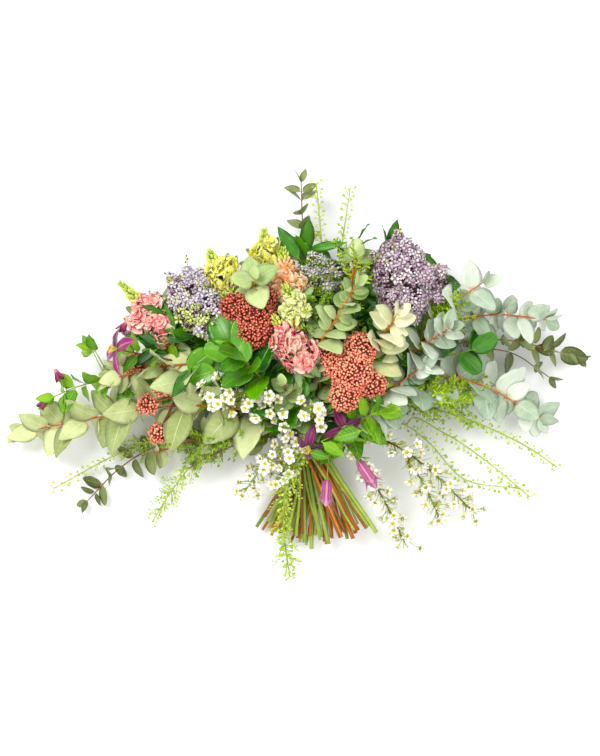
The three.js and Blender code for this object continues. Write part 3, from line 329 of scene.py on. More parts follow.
# Leaves and petals. Along a leaf of length L the middle runs x = L u (1 - 0.3 b b u), z = -b L u u for a bend
# b. Across it the blade is s w(v) wide, with w = v^p (1 - v)^q past the stalk, raised by the cup towards its
# edges, waved along them, and t sqrt(1 - s s) thick. The grid runs over the top and back under the leaf, and
# is closed to a point at both ends. A leaf that would pass through the table is lifted in proportion to u.
def growLeaves(places, cut, material, seed):
    count = len(places["size"])
    if not count:
        return []
    rows, half = cut.get("rows", 10), cut.get("columns", 5)
    size = places["size"][:, None, None] * cut.get("more", 1.0)
    t = np.concatenate([[0], np.linspace(0.02, 1, rows)])
    u = (0.45 * t + 0.55 * (1 - np.cos(np.pi * t)) / 2)[None, :, None]
    closed = (np.arange(rows + 1) > 0)[None, :, None] * 1.0
    s = np.concatenate([np.linspace(-1, 1, half), np.linspace(1, -1, half)[1:-1]])
    s = (np.sign(s) * np.abs(s) ** 0.9)[None, None, :]
    top = np.concatenate([np.ones(half), -np.ones(half - 2)])[None, None, :]
    p, q, stalk = cut["p"], cut["q"], cut.get("stalk", 0.08)
    v = np.clip((u - stalk) / (1 - stalk), 0, 1)
    peak = (p / (p + q)) ** p * (q / (p + q)) ** q
    wide = cut["ratio"] / 2 * v**p * (1 - v) ** q / peak * draw(seed, 0.9, 1.1, count, 1, 1)
    wide = np.maximum(wide, 0.5 * cut.get("stem", 1.0) / size * (1 - v) ** 0.3 * (u < 0.97)) * closed
    bend = (places["bend"][:, None, None] + draw(seed + 1, -0.05, 0.07, count, 1, 1)) * cut.get("droop", 1.0)
    x = size * u * (1 - 0.3 * bend**2 * u)
    y = size * wide * s
    phase = draw(seed + 2, 0, 6.28, count, 1, 1)
    wave = cut.get("wave", 0.02) * np.sin(cut.get("waves", 3) * 6.28 * u + phase + (s > 0) * 2.1) * s**2 * v
    cup = cut.get("cup", 0.2) * draw(seed + 3, 0.5, 1.3, count, 1, 1) * np.abs(s) ** 1.6 * wide
    z = -bend * size * u**2 + size * (wave + cup)
    z = z + top * cut.get("thick", 0.35) * np.sqrt(np.clip(1 - s**2, 0, 1)) * (1 - u**6) * closed
    roll = draw(seed + 4, -1, 1, count, 1, 1) * cut.get("twist", 0.25) * u
    y, z = y * np.cos(roll), z + y * np.sin(roll)
    side = np.cross(places["direction"], places["face"])
    points = places["at"][:, None, None] + (
        x[..., None] * places["direction"][:, None, None]
        + y[..., None] * side[:, None, None]
        + z[..., None] * places["face"][:, None, None]
    )
    sunk = np.maximum(0.5 - points[..., 2], 0) / np.maximum(u, 0.15)
    points[..., 2] += sunk.max(axis=(1, 2), keepdims=True) * u
    points[..., 2] = np.maximum(points[..., 2], aboveTable)
    tint = places.get("tint", draw(seed + 5, 0, 1, count))[:, None, None]
    return [layer(points, material, u, s, tint, (top < 0) * 1.0)]


# A rod along a smooth line: rings of the line's radius, swollen where leaves leave it and fluted a little all
# round, closed to a point at both ends.
def growStem(line, material, sides, tint, swell=0.0, gap=24.0):
    level, over = across(line["tangents"])
    turn = np.linspace(0, 2 * np.pi, sides, endpoint=False)
    radii = line["radii"] * (1 + swell * np.exp(-(((line["arcs"] % gap) / 2.2) ** 2)))
    ring = level[:, None] * np.cos(turn)[None, :, None] + over[:, None] * np.sin(turn)[None, :, None]
    fluted = 1 + 0.06 * np.sin(3 * turn + line["arcs"][:, None] * 0.02)
    points = line["points"][:, None] + ring * (radii[:, None] * fluted)[..., None]
    ends = line["points"][[0, -1]][:, None] + np.zeros_like(points[:2])
    points = np.concatenate([ends[:1], points, ends[1:]])[None]
    points[..., 2] = np.maximum(points[..., 2], aboveTable)
    u = np.concatenate([[-0.05], np.linspace(0, 1, len(radii)), [1.0]])[None, :, None]
    return layer(points, material, u, np.linspace(-1, 1, sides)[None, None], tint)


# Thin stalks from roots to heads. Each bows up by h 4 u (1 - u), and is closed to a point at both ends.
def growStalks(roots, heads, radius, material, seed, bow=0.12):
    u = np.array([0, 0, 0.33, 0.67, 1, 1])[None, :, None, None]
    closed = np.array([0, 1, 1, 1, 1, 0])[None, :, None, None]
    turn = np.linspace(0, 2 * np.pi, 4, endpoint=False)
    way = heads - roots
    level, over = across(unit(way))
    ring = level[:, None] * np.cos(turn)[None, :, None] + over[:, None] * np.sin(turn)[None, :, None]
    arch = bow * np.linalg.norm(way, axis=1)[:, None, None, None] * 2 * u * (1 - u) * up
    wall = ring[:, None] * radius * (1.15 - 0.3 * u) * closed
    points = roots[:, None, None] + u * way[:, None, None] + arch + wall
    points[..., 2] = np.maximum(points[..., 2], aboveTable)
    tint = draw(seed, 0, 1, len(roots), 1, 1)
    return layer(points, material, u[..., 0], 0.0, tint)


# Small round bodies, such as buds: r sin a across and l cos a along the axis, with a from the tip down.
def growBuds(at, axis, radius, length, material, seed, rows=6, columns=7, crease=0.0):
    down = np.linspace(np.pi, 0, rows)[None, :, None]
    turn = np.linspace(0, 2 * np.pi, columns, endpoint=False)[None, None, :]
    level, over = across(axis)
    grown = np.asarray(radius, float).reshape(-1, 1, 1) * (1 + crease * np.cos(turn * 3)) * np.sin(down)
    tall = np.asarray(length, float).reshape(-1, 1, 1) * np.cos(down)
    points = at[:, None, None] + (
        (grown * np.cos(turn))[..., None] * level[:, None, None]
        + (grown * np.sin(turn))[..., None] * over[:, None, None]
        + (tall + 0 * turn)[..., None] * axis[:, None, None]
    )
    points[..., 2] = np.maximum(points[..., 2], aboveTable)
    return layer(points, material, 1 - down / np.pi, 0.0, draw(seed, 0, 1, len(at), 1, 1))


materials = {}
total = [0]  # triangles so far


# One piece from its layers: corners in the same place are merged, so that seams and poles are closed, each
# quad is cut in two triangles, and those with two equal corners are dropped.
def makePiece(name, layers, nodes):
    start = np.cumsum([0] + [len(part["points"]) for part in layers])
    points = np.concatenate([part["points"] for part in layers])
    growth = np.concatenate([part["growth"] for part in layers])
    quads = np.concatenate([part["faces"] + first for part, first in zip(layers, start)])
    finishes = list(dict.fromkeys(part["material"] for part in layers))
    which = np.concatenate([np.full(len(part["faces"]), finishes.index(part["material"])) for part in layers])
    corners, first, back = np.unique(np.round(points, 3), axis=0, return_index=True, return_inverse=True)
    quads = back.reshape(-1)[quads]
    faces = np.concatenate([quads[:, [0, 1, 2]], quads[:, [0, 2, 3]]])
    which = np.concatenate([which, which])
    real = (faces[:, 0] != faces[:, 1]) & (faces[:, 1] != faces[:, 2]) & (faces[:, 2] != faces[:, 0])
    faces, which = faces[real], which[real]
    mesh = bpy.data.meshes.new(name)
    mesh.vertices.add(len(corners))
    mesh.vertices.foreach_set("co", (corners * metre).astype(np.float32).ravel())
    mesh.loops.add(len(faces) * 3)
    mesh.loops.foreach_set("vertex_index", faces.astype(np.int32).ravel())
    mesh.polygons.add(len(faces))
    mesh.polygons.foreach_set("loop_start", np.arange(0, len(faces) * 3, 3, dtype=np.int32))
    mesh.polygons.foreach_set("material_index", which.astype(np.int32))
    mesh.update(calc_edges=True)
    mesh.polygons.foreach_set("use_smooth", np.ones(len(faces), bool))
    grown = mesh.attributes.new("growth", "FLOAT_COLOR", "POINT")
    grown.data.foreach_set("color", growth[first].astype(np.float32).ravel())
    for finish in finishes:
        mesh.materials.append(materials[finish])
    piece = bpy.data.objects.new(name, mesh)
    bpy.context.scene.collection.objects.link(piece)
    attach(piece, "root")
    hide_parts(*nodes)
    total[0] += len(faces)


vivid = 1.24  # how far every colour is pushed away from its own grey


# A colour for a shader from its values on a screen: each to the power 2.2, then spread about their mean.
def tone(red, green, blue):
    light = (np.array([red, green, blue]) / 255.0) ** 2.2
    spread = light.mean() + (light - light.mean()) * vivid
    return tuple(float(c) for c in np.clip(spread, 0.0, 1.0)) + (1.0,)


# A Principled material and the tools to lay out its nodes.
class Finish:
    def __init__(self, name, looks):
        self.material = bpy.data.materials.new(name)
        self.material.use_nodes = True
        self.nodes = self.material.node_tree.nodes
        self.links = self.material.node_tree.links
        self.shader = self.nodes["Principled BSDF"]
        self.shader.inputs["Roughness"].default_value = looks["rough"]
        self.shader.inputs["Specular IOR Level"].default_value = looks.get("shine", 0.35)
        self.shader.inputs["Subsurface Weight"].default_value = looks.get("glow", 0.0)
        self.shader.inputs["Subsurface Radius"].default_value = (0.004, 0.004, 0.002)
        self.shader.inputs["Sheen Weight"].default_value = looks.get("bloom", 0.0)
        materials[name] = self.material

    # A link where the value is another node's output, and a fixed value otherwise.
    def put(self, socket, value):
        if hasattr(value, "links"):
            self.links.new(value, socket)
        else:
            socket.default_value = value

    # One arithmetic node.
    def math(self, kind, *values):
        node = self.nodes.new("ShaderNodeMath")
        node.operation = kind
        for socket, value in zip(node.inputs, values):
            self.put(socket, value)
        return node.outputs[0]

    # first x second
    def times(self, first, second):
        return self.math("MULTIPLY", first, second)

    # value x factor + offset
    def scaled(self, value, factor, offset):
        return self.math("MULTIPLY_ADD", value, factor, offset)

    # first (1 - share) + second share, for colours
    def blend(self, share, first, second):
        node = self.nodes.new("ShaderNodeMix")
        node.data_type = "RGBA"
        for socket, value in (("Factor", share), ("A", first), ("B", second)):
            self.put(node.inputs[socket], value)
        return node.outputs["Result"]

    # From 0 at low to 1 at high, along tt (3 - 2t).
    def ramp(self, value, low, high):
        node = self.nodes.new("ShaderNodeMapRange")
        node.interpolation_type = "SMOOTHSTEP"
        for socket, end in (("Value", value), ("From Min", low), ("From Max", high)):
            self.put(node.inputs[socket], end)
        return node.outputs["Result"]

    # Soft patches on the piece's own coordinates, about 1 / scale metres wide.
    def noise(self, scale, detail=3.0, rough=0.55):
        node = self.nodes.new("ShaderNodeTexNoise")
        place = self.nodes.new("ShaderNodeTexCoord")
        for socket, value in (("Scale", scale), ("Detail", detail), ("Roughness", rough)):
            node.inputs[socket].default_value = value
        self.links.new(place.outputs["Object"], node.inputs["Vector"])
        return node.outputs["Fac"]

    # A point's four growth values: share along, share across, tint and underside.
    def growth(self):
        node = self.nodes.new("ShaderNodeAttribute")
        node.attribute_name = "growth"
        parts = self.nodes.new("ShaderNodeSeparateColor")
        self.links.new(node.outputs["Color"], parts.inputs["Color"])
        return parts.outputs["Red"], parts.outputs["Green"], parts.outputs["Blue"], node.outputs["Alpha"]

    # Fine relief from a height, depth metres deep.
    def relief(self, height, strength, depth):
        bump = self.nodes.new("ShaderNodeBump")
        bump.inputs["Strength"].default_value = strength
        bump.inputs["Distance"].default_value = depth
        self.links.new(height, bump.inputs["Height"])
        self.links.new(bump.outputs["Normal"], self.shader.inputs["Normal"])

    # The base colour.
    def colour(self, value):
        self.put(self.shader.inputs["Base Color"], value)


# A leaf: two tones by leaf and by patch, a pale midrib, side veins in colour and relief, a rim and a duller
# underside. The side veins are where the sine of (veins u - 9 |s|) is high, so they run forward to the rim.
def leafFinish(name, looks):
    finish = Finish(name, looks)
    u, s, tint, under = finish.growth()
    patch = finish.noise(70.0)
    speck = finish.noise(600.0, 2.0)
    grown = finish.scaled(tint, 0.75, finish.scaled(patch, 0.8, -0.27))
    colour = finish.blend(finish.ramp(grown, 0.05, 0.95), looks["dark"], looks["light"])
    off = finish.math("ABSOLUTE", s)
    rib = finish.ramp(off, looks.get("rib", 0.08), 0.0)
    arched = finish.scaled(u, looks.get("veins", 52.0), finish.times(off, -9.0))
    vein = finish.times(finish.ramp(finish.math("SINE", arched), 0.7, 1.0), looks.get("veinShare", 0.3))
    colour = finish.blend(finish.math("MAXIMUM", finish.times(rib, 0.75), vein), colour, looks["vein"])
    edged = finish.times(finish.ramp(off, 0.84, 1.0), looks.get("edgeShare", 0.3))
    colour = finish.blend(edged, colour, looks.get("edge", looks["vein"]))
    stalked = finish.times(finish.ramp(u, 0.2, 0.04), looks.get("stalkShare", 0.8))
    colour = finish.blend(stalked, colour, looks.get("stalk", looks["vein"]))
    colour = finish.blend(finish.times(under, looks.get("underShare", 0.6)), colour, looks["under"])
    colour = finish.blend(finish.times(finish.ramp(speck, 0.58, 0.7), 0.25), colour, looks["dark"])
    finish.colour(colour)
    dull = finish.scaled(patch, 0.22, finish.scaled(under, 0.15, looks["rough"] - 0.1))
    finish.put(finish.shader.inputs["Roughness"], dull)
    grain = finish.scaled(patch, 0.6, finish.times(speck, 0.15))
    height = finish.scaled(vein, -1.6, finish.scaled(rib, -1.2, grain))
    finish.relief(height, 0.4, 0.0007)


# A petal or bud: one colour at its root, two by flower and patch, another at its rim, and fine streaks along
# it where the sine of (streaks s + 3 patch) is high.
def petalFinish(name, looks):
    finish = Finish(name, looks)
    u, s, tint, _ = finish.growth()
    patch = finish.noise(looks.get("patch", 160.0))
    grown = finish.scaled(tint, 0.8, finish.scaled(patch, 0.7, -0.25))
    colour = finish.blend(finish.ramp(grown, 0.05, 0.95), looks["dark"], looks["light"])
    rooted = finish.times(finish.ramp(u, looks.get("rootEnd", 0.45), 0.05), looks.get("rootShare", 0.6))
    colour = finish.blend(rooted, colour, looks["root"])
    streak = finish.math("SINE", finish.scaled(s, looks.get("streaks", 22.0), finish.times(patch, 3.0)))
    streaked = finish.times(finish.ramp(streak, 0.4, 1.0), looks.get("streakShare", 0.15))
    colour = finish.blend(streaked, colour, looks.get("streak", looks["dark"]))
    rim = finish.times(finish.ramp(u, looks.get("rimStart", 0.7), 1.0), looks.get("rimShare", 0.35))
    finish.colour(finish.blend(rim, colour, looks["rim"]))
    finish.relief(finish.scaled(streak, 0.3, patch), 0.35, 0.0005)


# A stem: two tones along it, fluting by the sine of (15 s + 9 noise), flecks where a fine noise is high, and
# a pale cut end where u is below 0.
def stemFinish(name, looks):
    finish = Finish(name, looks)
    u, s, tint, _ = finish.growth()
    long = finish.noise(26.0, 3.0)
    fleck = finish.noise(380.0, 4.0, 0.7)
    grown = finish.scaled(tint, 0.7, finish.scaled(long, 1.0, -0.35))
    colour = finish.blend(finish.ramp(grown, 0.05, 0.95), looks["dark"], looks["light"])
    flute = finish.math("SINE", finish.scaled(s, 15.0, finish.times(long, 9.0)))
    colour = finish.blend(finish.times(finish.ramp(flute, 0.0, 1.0), 0.35), colour, looks["light"])
    colour = finish.blend(finish.times(finish.ramp(fleck, 0.53, 0.66), 0.65), colour, looks["fleck"])
    colour = finish.blend(finish.ramp(u, -0.001, -0.03), colour, looks["cut"])
    finish.colour(colour)
    finish.relief(finish.scaled(flute, 0.5, fleck), 0.5, 0.0006)


# Colours are red, green and blue as on a screen. light and dark are the two tones, bloom is a powdery sheen,
# shine the gloss and glow the light let through. A share is how much of a colour lies over the two tones.
powdery = {"rough": 0.6, "bloom": 0.2, "veinShare": 0.1, "rib": 0.05}
leafLooks = {
    "oliveEucalyptus": {**powdery, "light": (204, 212, 162), "dark": (140, 154, 98), "vein": (224, 226, 188),
        "under": (200, 208, 172), "edge": (206, 180, 136), "stalk": (206, 140, 90)},
    "greenEucalyptus": {**powdery, "light": (186, 202, 146), "dark": (120, 146, 88), "vein": (212, 220, 168),
        "under": (192, 206, 162), "stalk": (196, 150, 100)},
    "paleEucalyptus": {**powdery, "light": (232, 232, 196), "dark": (186, 192, 140), "vein": (240, 238, 210),
        "under": (224, 224, 194), "stalk": (206, 170, 110)},
    "silverEucalyptus": {**powdery, "light": (214, 222, 206), "dark": (146, 166, 140),
        "vein": (224, 230, 214), "under": (198, 210, 198), "stalk": (196, 150, 106), "bloom": 0.15},
    "gumLeaf": {"light": (130, 142, 94), "dark": (74, 86, 50), "vein": (160, 154, 104),
        "under": (142, 152, 114), "rough": 0.5, "edge": (120, 84, 60), "veinShare": 0.2},
    "ruscusLeaf": {"light": (68, 124, 24), "dark": (20, 66, 10), "vein": (94, 144, 42),
        "under": (84, 132, 42), "rough": 0.36, "shine": 0.4, "veins": 8.0, "veinShare": 0.25,
        "edgeShare": 0.1},
    "salalLeaf": {"light": (98, 154, 10), "dark": (32, 88, 6), "vein": (130, 176, 50),
        "under": (110, 154, 38), "rough": 0.3, "shine": 0.55, "veins": 30.0, "veinShare": 0.08, "rib": 0.05,
        "edgeShare": 0.1},
    # Painted shade: a very dark green for leaves set deep in the bunch and in its gaps, where it lies in
    # shade.
    "shadeLeaf": {"light": (80, 134, 28), "dark": (24, 66, 8), "vein": (110, 158, 52),
        "under": (94, 142, 48), "rough": 0.42, "shine": 0.45, "veins": 30.0, "veinShare": 0.3,
        "edgeShare": 0.1},
    "clematisLeaf": {"light": (130, 176, 58), "dark": (68, 120, 30), "vein": (164, 192, 90),
        "under": (146, 180, 82), "rough": 0.4, "veinShare": 0.35, "edgeShare": 0.1},
    "stockLeaf": {"light": (146, 172, 120), "dark": (88, 120, 74), "vein": (176, 194, 146),
        "under": (160, 182, 136), "rough": 0.6, "bloom": 0.2, "veinShare": 0.2, "edgeShare": 0.1},
    "fillerLeaf": {"light": (204, 228, 60), "dark": (124, 168, 24), "vein": (200, 220, 96),
        "under": (170, 202, 90), "rough": 0.5, "edgeShare": 0.1},
    "podSkin": {"light": (204, 222, 112), "dark": (146, 182, 62), "vein": (220, 230, 150),
        "under": (194, 214, 120), "rough": 0.5, "veinShare": 0.2},
    "needleLeaf": {"light": (160, 196, 76), "dark": (88, 134, 40), "vein": (176, 204, 96),
        "under": (156, 190, 96), "rough": 0.5},
}
petalLooks = {
    "purplePetal": {"light": (138, 44, 96), "dark": (78, 20, 58), "root": (66, 18, 50), "rough": 0.45,
        "rim": (168, 82, 132), "streak": (222, 164, 196), "streaks": 6.3, "streakShare": 0.4, "bloom": 0.1},
    "duskPetal": {"light": (176, 84, 116), "dark": (124, 44, 78), "root": (190, 120, 130), "rough": 0.5,
        "rim": (92, 26, 62), "rimShare": 0.8, "rimStart": 0.5, "streak": (206, 150, 168), "streakShare": 0.3},
    "plumPetal": {"light": (116, 40, 82), "dark": (58, 18, 44), "root": (44, 14, 36), "rough": 0.45,
        "rim": (140, 66, 108), "streak": (162, 94, 136), "streaks": 9.0, "streakShare": 0.35, "bloom": 0.2},
    "mauvePetal": {"light": (182, 110, 146), "dark": (122, 54, 92), "root": (128, 60, 96), "rough": 0.6,
        "rim": (222, 174, 196), "streak": (222, 168, 196), "streaks": 12.6, "streakShare": 0.6},
    # Its dark root is painted shade deep between the florets.
    "lilacPetal": {"light": (250, 242, 242), "dark": (190, 168, 182), "root": (122, 86, 98),
        "rough": 0.55, "rim": (248, 238, 244), "rootShare": 0.65, "glow": 0.1},
    "paleLilacPetal": {"light": (240, 234, 240), "dark": (204, 190, 212), "root": (170, 176, 120),
        "rough": 0.55, "rim": (246, 240, 246), "rootShare": 0.5, "glow": 0.1},
    "dustyPetal": {"light": (230, 228, 222), "dark": (178, 180, 168), "root": (138, 150, 92),
        "rough": 0.55, "rim": (236, 232, 230), "rootShare": 0.6, "glow": 0.1},
    "lilacBud": {"light": (174, 142, 162), "dark": (116, 84, 104), "root": (116, 108, 80), "rough": 0.55,
        "rim": (204, 180, 194)},
    "pinkPetal": {"light": (255, 204, 190), "dark": (234, 124, 134), "root": (226, 150, 110),
        "rough": 0.5, "rim": (255, 232, 212), "rimShare": 0.6, "rootShare": 0.45, "glow": 0.1, "patch": 60.0},
    "apricotPetal": {"light": (255, 220, 180), "dark": (246, 176, 128), "root": (232, 180, 100),
        "rough": 0.5, "rim": (255, 234, 210), "rimShare": 0.5, "glow": 0.1},
    "yellowPetal": {"light": (248, 244, 168), "dark": (222, 222, 98), "root": (176, 196, 70),
        "rough": 0.5, "rim": (252, 248, 200), "rimShare": 0.5, "glow": 0.1},
    "limePetal": {"light": (240, 242, 186), "dark": (204, 218, 124), "root": (156, 186, 80),
        "rough": 0.5, "rim": (248, 248, 214), "rimShare": 0.5, "glow": 0.1},
    # The rice flower's buds darken at their roots as painted shade where they pack together; their pale rims
    # are partly the buds' own colour and partly painted highlight.
    "roseBud": {"light": (208, 120, 102), "dark": (142, 56, 50), "root": (108, 40, 34), "rough": 0.5,
        "rim": (246, 196, 166), "rimShare": 0.7, "rootShare": 0.8, "rootEnd": 0.6},
    "pinkBud": {"light": (244, 172, 146), "dark": (200, 102, 94), "root": (158, 66, 50), "rough": 0.5,
        "rim": (255, 234, 190), "rimShare": 0.8, "rootShare": 0.7, "rootEnd": 0.6},
    "waxPetal": {"light": (255, 254, 248), "dark": (238, 234, 212), "root": (222, 222, 150), "rough": 0.4,
        "rim": (255, 255, 254), "glow": 0.1, "rootShare": 0.5, "streakShare": 0.05},
    "waxCup": {"light": (196, 200, 84), "dark": (130, 136, 40), "root": (150, 130, 50), "rough": 0.3,
        "rim": (120, 96, 30), "rimShare": 0.9, "rimStart": 0.86, "shine": 0.5},
    "waxBud": {"light": (240, 234, 196), "dark": (206, 202, 128), "root": (160, 176, 84), "rough": 0.4,
        "rim": (250, 244, 232)},
    "budGreen": {"light": (214, 220, 130), "dark": (150, 178, 74), "root": (130, 156, 66), "rough": 0.5,
        "rim": (240, 214, 190), "rimShare": 0.6},
    "calyx": {"light": (160, 188, 84), "dark": (98, 134, 44), "root": (90, 120, 50), "rough": 0.5,
        "rim": (180, 198, 104)},
    # The lilac's core below is painted shade: a dark colour for the gaps between its florets.
    "shadeCore": {"light": (96, 82, 56), "dark": (58, 48, 34), "root": (50, 40, 30), "rough": 0.8,
        "rim": (80, 70, 50)},
    "stockCore": {"light": (150, 150, 84), "dark": (96, 106, 50), "root": (80, 90, 40), "rough": 0.8,
        "rim": (120, 126, 66)},
    # The rice flower's core below is painted shade: a dark colour for the gaps between its buds.
    "roseCore": {"light": (124, 64, 46), "dark": (74, 38, 26), "root": (66, 32, 24), "rough": 0.8,
        "rim": (110, 46, 46)},
    "anther": {"light": (242, 232, 156), "dark": (204, 184, 90), "root": (180, 170, 80), "rough": 0.6,
        "rim": (248, 242, 200)},
}
stemLooks = {
    "rustStem": {"light": (206, 132, 76), "dark": (142, 74, 40), "fleck": (96, 56, 36),
        "cut": (232, 212, 166), "rough": 0.5},
    "greenStem": {"light": (156, 174, 92), "dark": (94, 116, 50), "fleck": (126, 120, 60),
        "cut": (220, 226, 176), "rough": 0.45},
    "brownStem": {"light": (158, 112, 70), "dark": (88, 56, 34), "fleck": (60, 40, 26),
        "cut": (220, 198, 154), "rough": 0.6},
    "limeStem": {"light": (184, 198, 110), "dark": (132, 152, 68), "fleck": (128, 146, 60),
        "cut": (224, 230, 176), "rough": 0.45},
    "twine": {"light": (220, 196, 144), "dark": (164, 134, 86), "fleck": (120, 96, 62),
        "cut": (220, 200, 160), "rough": 0.85},
}
for make, group in ((leafFinish, leafLooks), (petalFinish, petalLooks), (stemFinish, stemLooks)):
    for name, looks in group.items():
        make(name, {key: tone(*value) if isinstance(value, tuple) else value for key, value in looks.items()})
print("finishes", len(materials))


# How leaves are drawn: ratio is the width as a share of the length, p and q shape the outline, stalk is the
# share without a blade, cup and wave raise it as shares of width and length, stem and thick are in
# millimetres, and more is how much longer the drawn leaf is than the solid's.
leafShapes = {
    "eucalyptus": {"ratio": 0.78, "p": 0.46, "q": 0.74, "stalk": 0.07, "cup": 0.14, "wave": 0.014,
        "stem": 1.3, "columns": 6, "rows": 12, "more": 1.1},
    "sickle": {"ratio": 0.66, "p": 0.5, "q": 0.88, "stalk": 0.07, "cup": 0.14, "wave": 0.014, "stem": 1.3,
        "columns": 6, "rows": 12, "more": 1.14},
    "narrow": {"ratio": 0.56, "p": 0.52, "q": 0.76, "stalk": 0.08, "cup": 0.2, "wave": 0.01, "stem": 1.0,
        "more": 1.15},
    "clematis": {"ratio": 0.54, "p": 0.5, "q": 0.95, "stalk": 0.14, "cup": 0.2, "wave": 0.03, "stem": 1.1,
        "rows": 11},
    "ruscus": {"ratio": 0.38, "p": 0.7, "q": 1.0, "stalk": 0.05, "cup": 0.3, "wave": 0.02, "stem": 1.6,
        "rows": 12},
    "salal": {"ratio": 0.8, "p": 0.44, "q": 0.5, "stalk": 0.06, "cup": 0.26, "wave": 0.02, "stem": 1.6,
        "rows": 12, "columns": 7},
    "heart": {"ratio": 0.72, "p": 0.42, "q": 0.85, "stalk": 0.22, "cup": 0.2, "wave": 0.025, "stem": 1.3,
        "rows": 11},
    "blade": {"ratio": 0.24, "p": 0.8, "q": 0.6, "stalk": 0.02, "cup": 0.3, "wave": 0.03, "stem": 1.6,
        "rows": 9},
    "filler": {"ratio": 0.3, "p": 0.6, "q": 0.8, "stalk": 0.06, "cup": 0.2, "stem": 0.7, "rows": 5,
        "columns": 3},
    "needle": {"ratio": 0.11, "p": 0.5, "q": 0.6, "stalk": 0.03, "cup": 0.1, "stem": 0.7, "rows": 4,
        "columns": 3},
    "closed": {"ratio": 0.42, "p": 0.7, "q": 0.6, "stalk": 0.0, "cup": 0.5, "stem": 1.6, "rows": 10,
        "columns": 5},
    "pod": {"ratio": 0.38, "p": 0.6, "q": 0.3, "stalk": 0.58, "cup": 0.1, "stem": 0.45, "rows": 8,
        "columns": 3, "thick": 0.6},
}
noPlaces = {"at": np.zeros((0, 3)), "direction": np.zeros((0, 3)), "face": np.zeros((0, 3)),
    "size": np.zeros(0), "bend": np.zeros(0)}


# Places at given arcs of a line. Each leaves the line at an angle a, the spread within 12 degrees, and runs
# tangent cos a + out sin a, with out turned round the line, and lift added upwards. flat is the share of its
# climb or fall that is kept, and facing how far its face turns from the line's tip up to the viewer.
def placesAt(line, arcs, turn, spread, sizes, seed, lift, facing, flat):
    at, tangent = along(line, arcs)
    level, over = across(tangent)
    out = level * np.cos(turn)[:, None] + over * np.sin(turn)[:, None]
    lean = np.radians(spread + draw(seed + 1, -12, 12, len(arcs)))[:, None]
    direction = unit((tangent * np.cos(lean) + out * np.sin(lean) + up * lift) * np.array([1.0, 1.0, flat]))
    face = (tangent * np.sin(lean) - out * np.cos(lean)) * (1 - facing) + up * facing
    bend = draw(seed + 3, 0.05, 0.3, len(arcs))
    return {"at": at, "direction": direction, "face": squareTo(face, direction), "size": sizes, "bend": bend}


# Single places in a spiral of golden turns from start to stop, about gap apart.
def spiral(line, start, stop, gap, spread, size, seed, lift=0.0, facing=0.4, flat=1.0):
    if stop - start < gap:
        return noPlaces
    arcs = np.arange(start, stop, gap)
    count = len(arcs)
    arcs = arcs + draw(seed, -0.3, 0.3, count) * gap
    sizes = size * (1 + draw(seed + 2, -0.2, 0.2, count))
    return placesAt(line, arcs, np.arange(count) * goldenTurn + seed, spread, sizes, seed, lift, facing, flat)


# Two sets of places as one.
def joined(first, second):
    return {key: np.concatenate([first[key], second[key]]) for key in first}


# Pairs of places that face each other across the line, each pair a quarter turn on from the last.
def pairs(line, arcs, spread, size, seed, lift=0.0, facing=0.4, flat=1.0):
    if not len(arcs):
        return noPlaces
    n = np.arange(len(arcs) * 2)
    turn = (n // 2) * np.pi / 2 + (n % 2) * np.pi + seed + draw(seed + 4, -0.3, 0.3, len(n))
    sizes = np.repeat(size * np.ones(len(arcs)), 2) * (1 + draw(seed + 2, -0.15, 0.15, len(n)))
    return placesAt(line, np.repeat(arcs, 2), turn, spread, sizes, seed, lift, facing, flat)


# Places spread over an oval about (x, y, z): place k lies at golden turn k, sqrt((k + 0.5) / count) of the
# way out, and points away from the tie.
def oval(x, y, z, wide, tall, count, size, seed):
    k = np.arange(count)
    share = np.sqrt((k + 0.5) / count)
    turn = k * goldenTurn + seed
    height = z + draw(seed, -9, 9, count)
    at = np.stack([x + wide * share * np.cos(turn), y + tall * share * np.sin(turn), height], axis=1)
    level = np.array([1.0, 1.0, 0.0])
    direction = unit(unit(at * level) + draw(seed + 1, -0.8, 0.8, count, 3) * np.array([1.0, 1.0, 0.3]))
    face = unit(up + draw(seed + 2, -0.3, 0.3, count, 3))
    return {"at": at, "direction": direction, "face": squareTo(face, direction),
        "size": size * draw(seed + 3, 0.8, 1.15, count), "bend": draw(seed + 4, 0.05, 0.3, count)}


# Single places, each given as x, y, z, the turn from the right in degrees, and the size.
def laid(spots, seed):
    x, y, z, turn, size = np.array(spots, float).T
    turn = np.radians(turn)
    direction = unit(np.stack([np.cos(turn), np.sin(turn), np.full(len(turn), 0.08)], axis=1))
    face = unit(up + draw(seed, -0.25, 0.25, len(turn), 3))
    return {"at": np.stack([x, y, z], axis=1), "direction": direction,
        "face": squareTo(face, direction), "size": size,
        "bend": draw(seed + 1, 0.05, 0.3, len(turn))}


# Where along a line the given points sit: the distance of the line's point nearest to each.
def arcsOf(line, points):
    return line["arcs"][np.argmin(gapsTo(points, line["points"]), axis=1)]


# Below the tie each stem is a little different: its thickness as a share, and in millimetres how much shorter
# it is cut and how far it bows and slants to the side.
cutEnds = {"thick": (0.58, 1.08), "shorter": (0, 19), "bow": (-3, 3), "slant": (-5, 5), "from": 15,
    "over": 100}
stemLines = {"step": 6.0, "blendFrom": -40, "blendOver": 160, "twig": 0.85}


